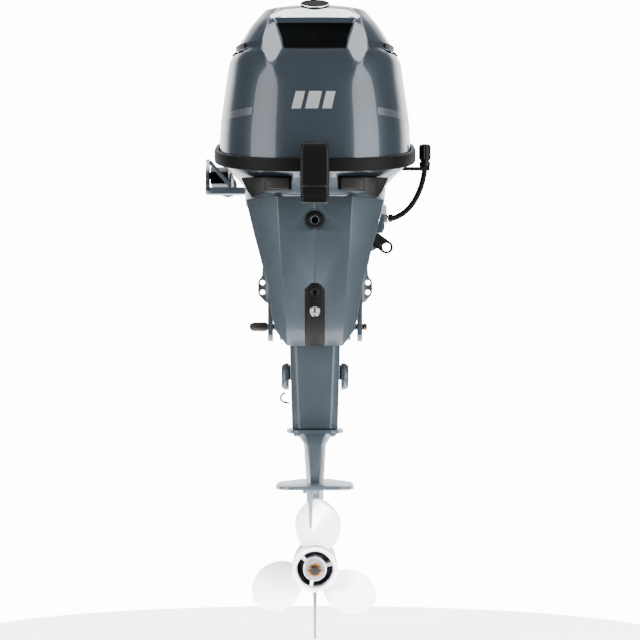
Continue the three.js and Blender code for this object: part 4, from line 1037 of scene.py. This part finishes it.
for name, side in (("port", -1), ("starboard", 1)):
    screw_head(f"casing_screw_{name}", "z", 0.0052, -0.3515, -0.3565, (side * 0.031, -0.236),
               CAST_PAINT)

# %% [markdown]
# ## Floor and studio light
# The floor is a small white board, lit from inside. Two tall softboxes stand behind the camera's left and
# right shoulders and give the long upright reflections in the paint, one large panel hangs above and ahead,
# two small ones are set high at the sides, and two low ones light the propeller. The room is dark towards
# the camera and white beyond the motor, which draws the light edge along both sides of the casing. The
# camera itself sees plain white behind the motor.

# %% Floor
bpy.ops.mesh.primitive_circle_add(vertices=96, radius=0.62, fill_type="NGON", location=(0, -0.12, -0.7045))
floor = bpy.context.object
floor.name = "floor"
FLOOR_WHITE = bpy.data.materials.new("floor_white")
FLOOR_WHITE.use_nodes = True
board = FLOOR_WHITE.node_tree.nodes["Principled BSDF"]
FLOOR_GLOW = 4.0
for socket, value in (("Base Color", (0.95, 0.95, 0.955, 1)), ("Roughness", 0.6),
                      ("Emission Color", (1, 1, 1, 1)), ("Emission Strength", FLOOR_GLOW)):
    board.inputs[socket].default_value = value
floor.data.materials.append(FLOOR_WHITE)
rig.stage(floor)


# %% Softboxes
def softbox(name, azimuth, elevation, distance, width, height, watts, aim=(0, -0.16, 0.1)):
    """An area light round the motor: azimuth 0 is towards the camera, positive to starboard."""
    a, e = math.radians(azimuth), math.radians(elevation)
    back = Vector((math.sin(a) * math.cos(e), -math.cos(a) * math.cos(e), math.sin(e)))
    light = bpy.data.lights.new(name, "AREA")
    light.shape = "RECTANGLE"
    light.size, light.size_y, light.energy = width, height, watts
    lamp = bpy.data.objects.new(name, light)
    lamp.location = Vector(aim) + back * distance
    lamp.rotation_euler = back.to_track_quat("Z", "Y").to_euler()
    bpy.context.scene.collection.objects.link(lamp)
    return lamp


softbox("softbox_port", -56, -3, 2.6, 2.3, 2.6, 56)
softbox("softbox_starboard", 56, -3, 2.6, 2.3, 2.6, 78)
softbox("overhead", 0, 110, 2.4, 1.6, 1.4, 95)
for name, azimuth in (("shoulder_port", -53), ("shoulder_starboard", 53)):
    softbox(name, azimuth, 40, 2.6, 0.9, 0.8, 20)
for name, azimuth in (("low_port", -50), ("low_starboard", 50)):
    low = softbox(name, azimuth, 0, 1.0, 0.4, 0.3, 2.0, aim=(0, -0.28, -0.63))
    low.data.spread = math.radians(24)
print(sum(1 for o in bpy.data.objects if o.type == "LIGHT"), "lights")

# %% Room
world = bpy.data.worlds.new("studio")
bpy.context.scene.world = world
world.use_nodes = True
tree = world.node_tree
tree.nodes.clear()
where = add_node(tree, "ShaderNodeTexCoord")
axes = add_node(tree, "ShaderNodeSeparateXYZ", links={"Vector": where.outputs["Generated"]})
ahead = add_node(tree, "ShaderNodeMapRange", {"interpolation_type": "SMOOTHSTEP"},
                 {"From Min": 0.72, "From Max": 0.96, "To Min": 0.06, "To Max": 3.0},
                 {"Value": axes.outputs["Y"]})
above = add_node(tree, "ShaderNodeMapRange", {"interpolation_type": "SMOOTHSTEP"},
                 {"From Min": 0.5, "From Max": 1.0, "To Min": 0.0, "To Max": 0.25},
                 {"Value": axes.outputs["Z"]})
room = add_node(tree, "ShaderNodeMath", {"operation": "ADD"},
                links={0: ahead.outputs["Result"], 1: above.outputs["Result"]})
room_light = add_node(tree, "ShaderNodeBackground", inputs={"Color": (0.93, 0.96, 1.0, 1)},
                      links={"Strength": room.outputs["Value"]})
BACKDROP_STRENGTH = 14.0
white = add_node(tree, "ShaderNodeBackground",
                 inputs={"Color": (1, 1, 1, 1), "Strength": BACKDROP_STRENGTH})
ray = add_node(tree, "ShaderNodeLightPath")
backdrop = add_node(tree, "ShaderNodeMixShader", links={0: ray.outputs["Is Camera Ray"],
                                                        1: room_light.outputs["Background"],
                                                        2: white.outputs["Background"]})
add_node(tree, "ShaderNodeOutputWorld", links={"Surface": backdrop.outputs["Shader"]})
deselect()

# %% Finish
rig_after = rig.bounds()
json.dump({"cad": [list(c) for c in CAD_BOUNDS], "visual": [list(c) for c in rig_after]},
          open("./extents.json", "w"))
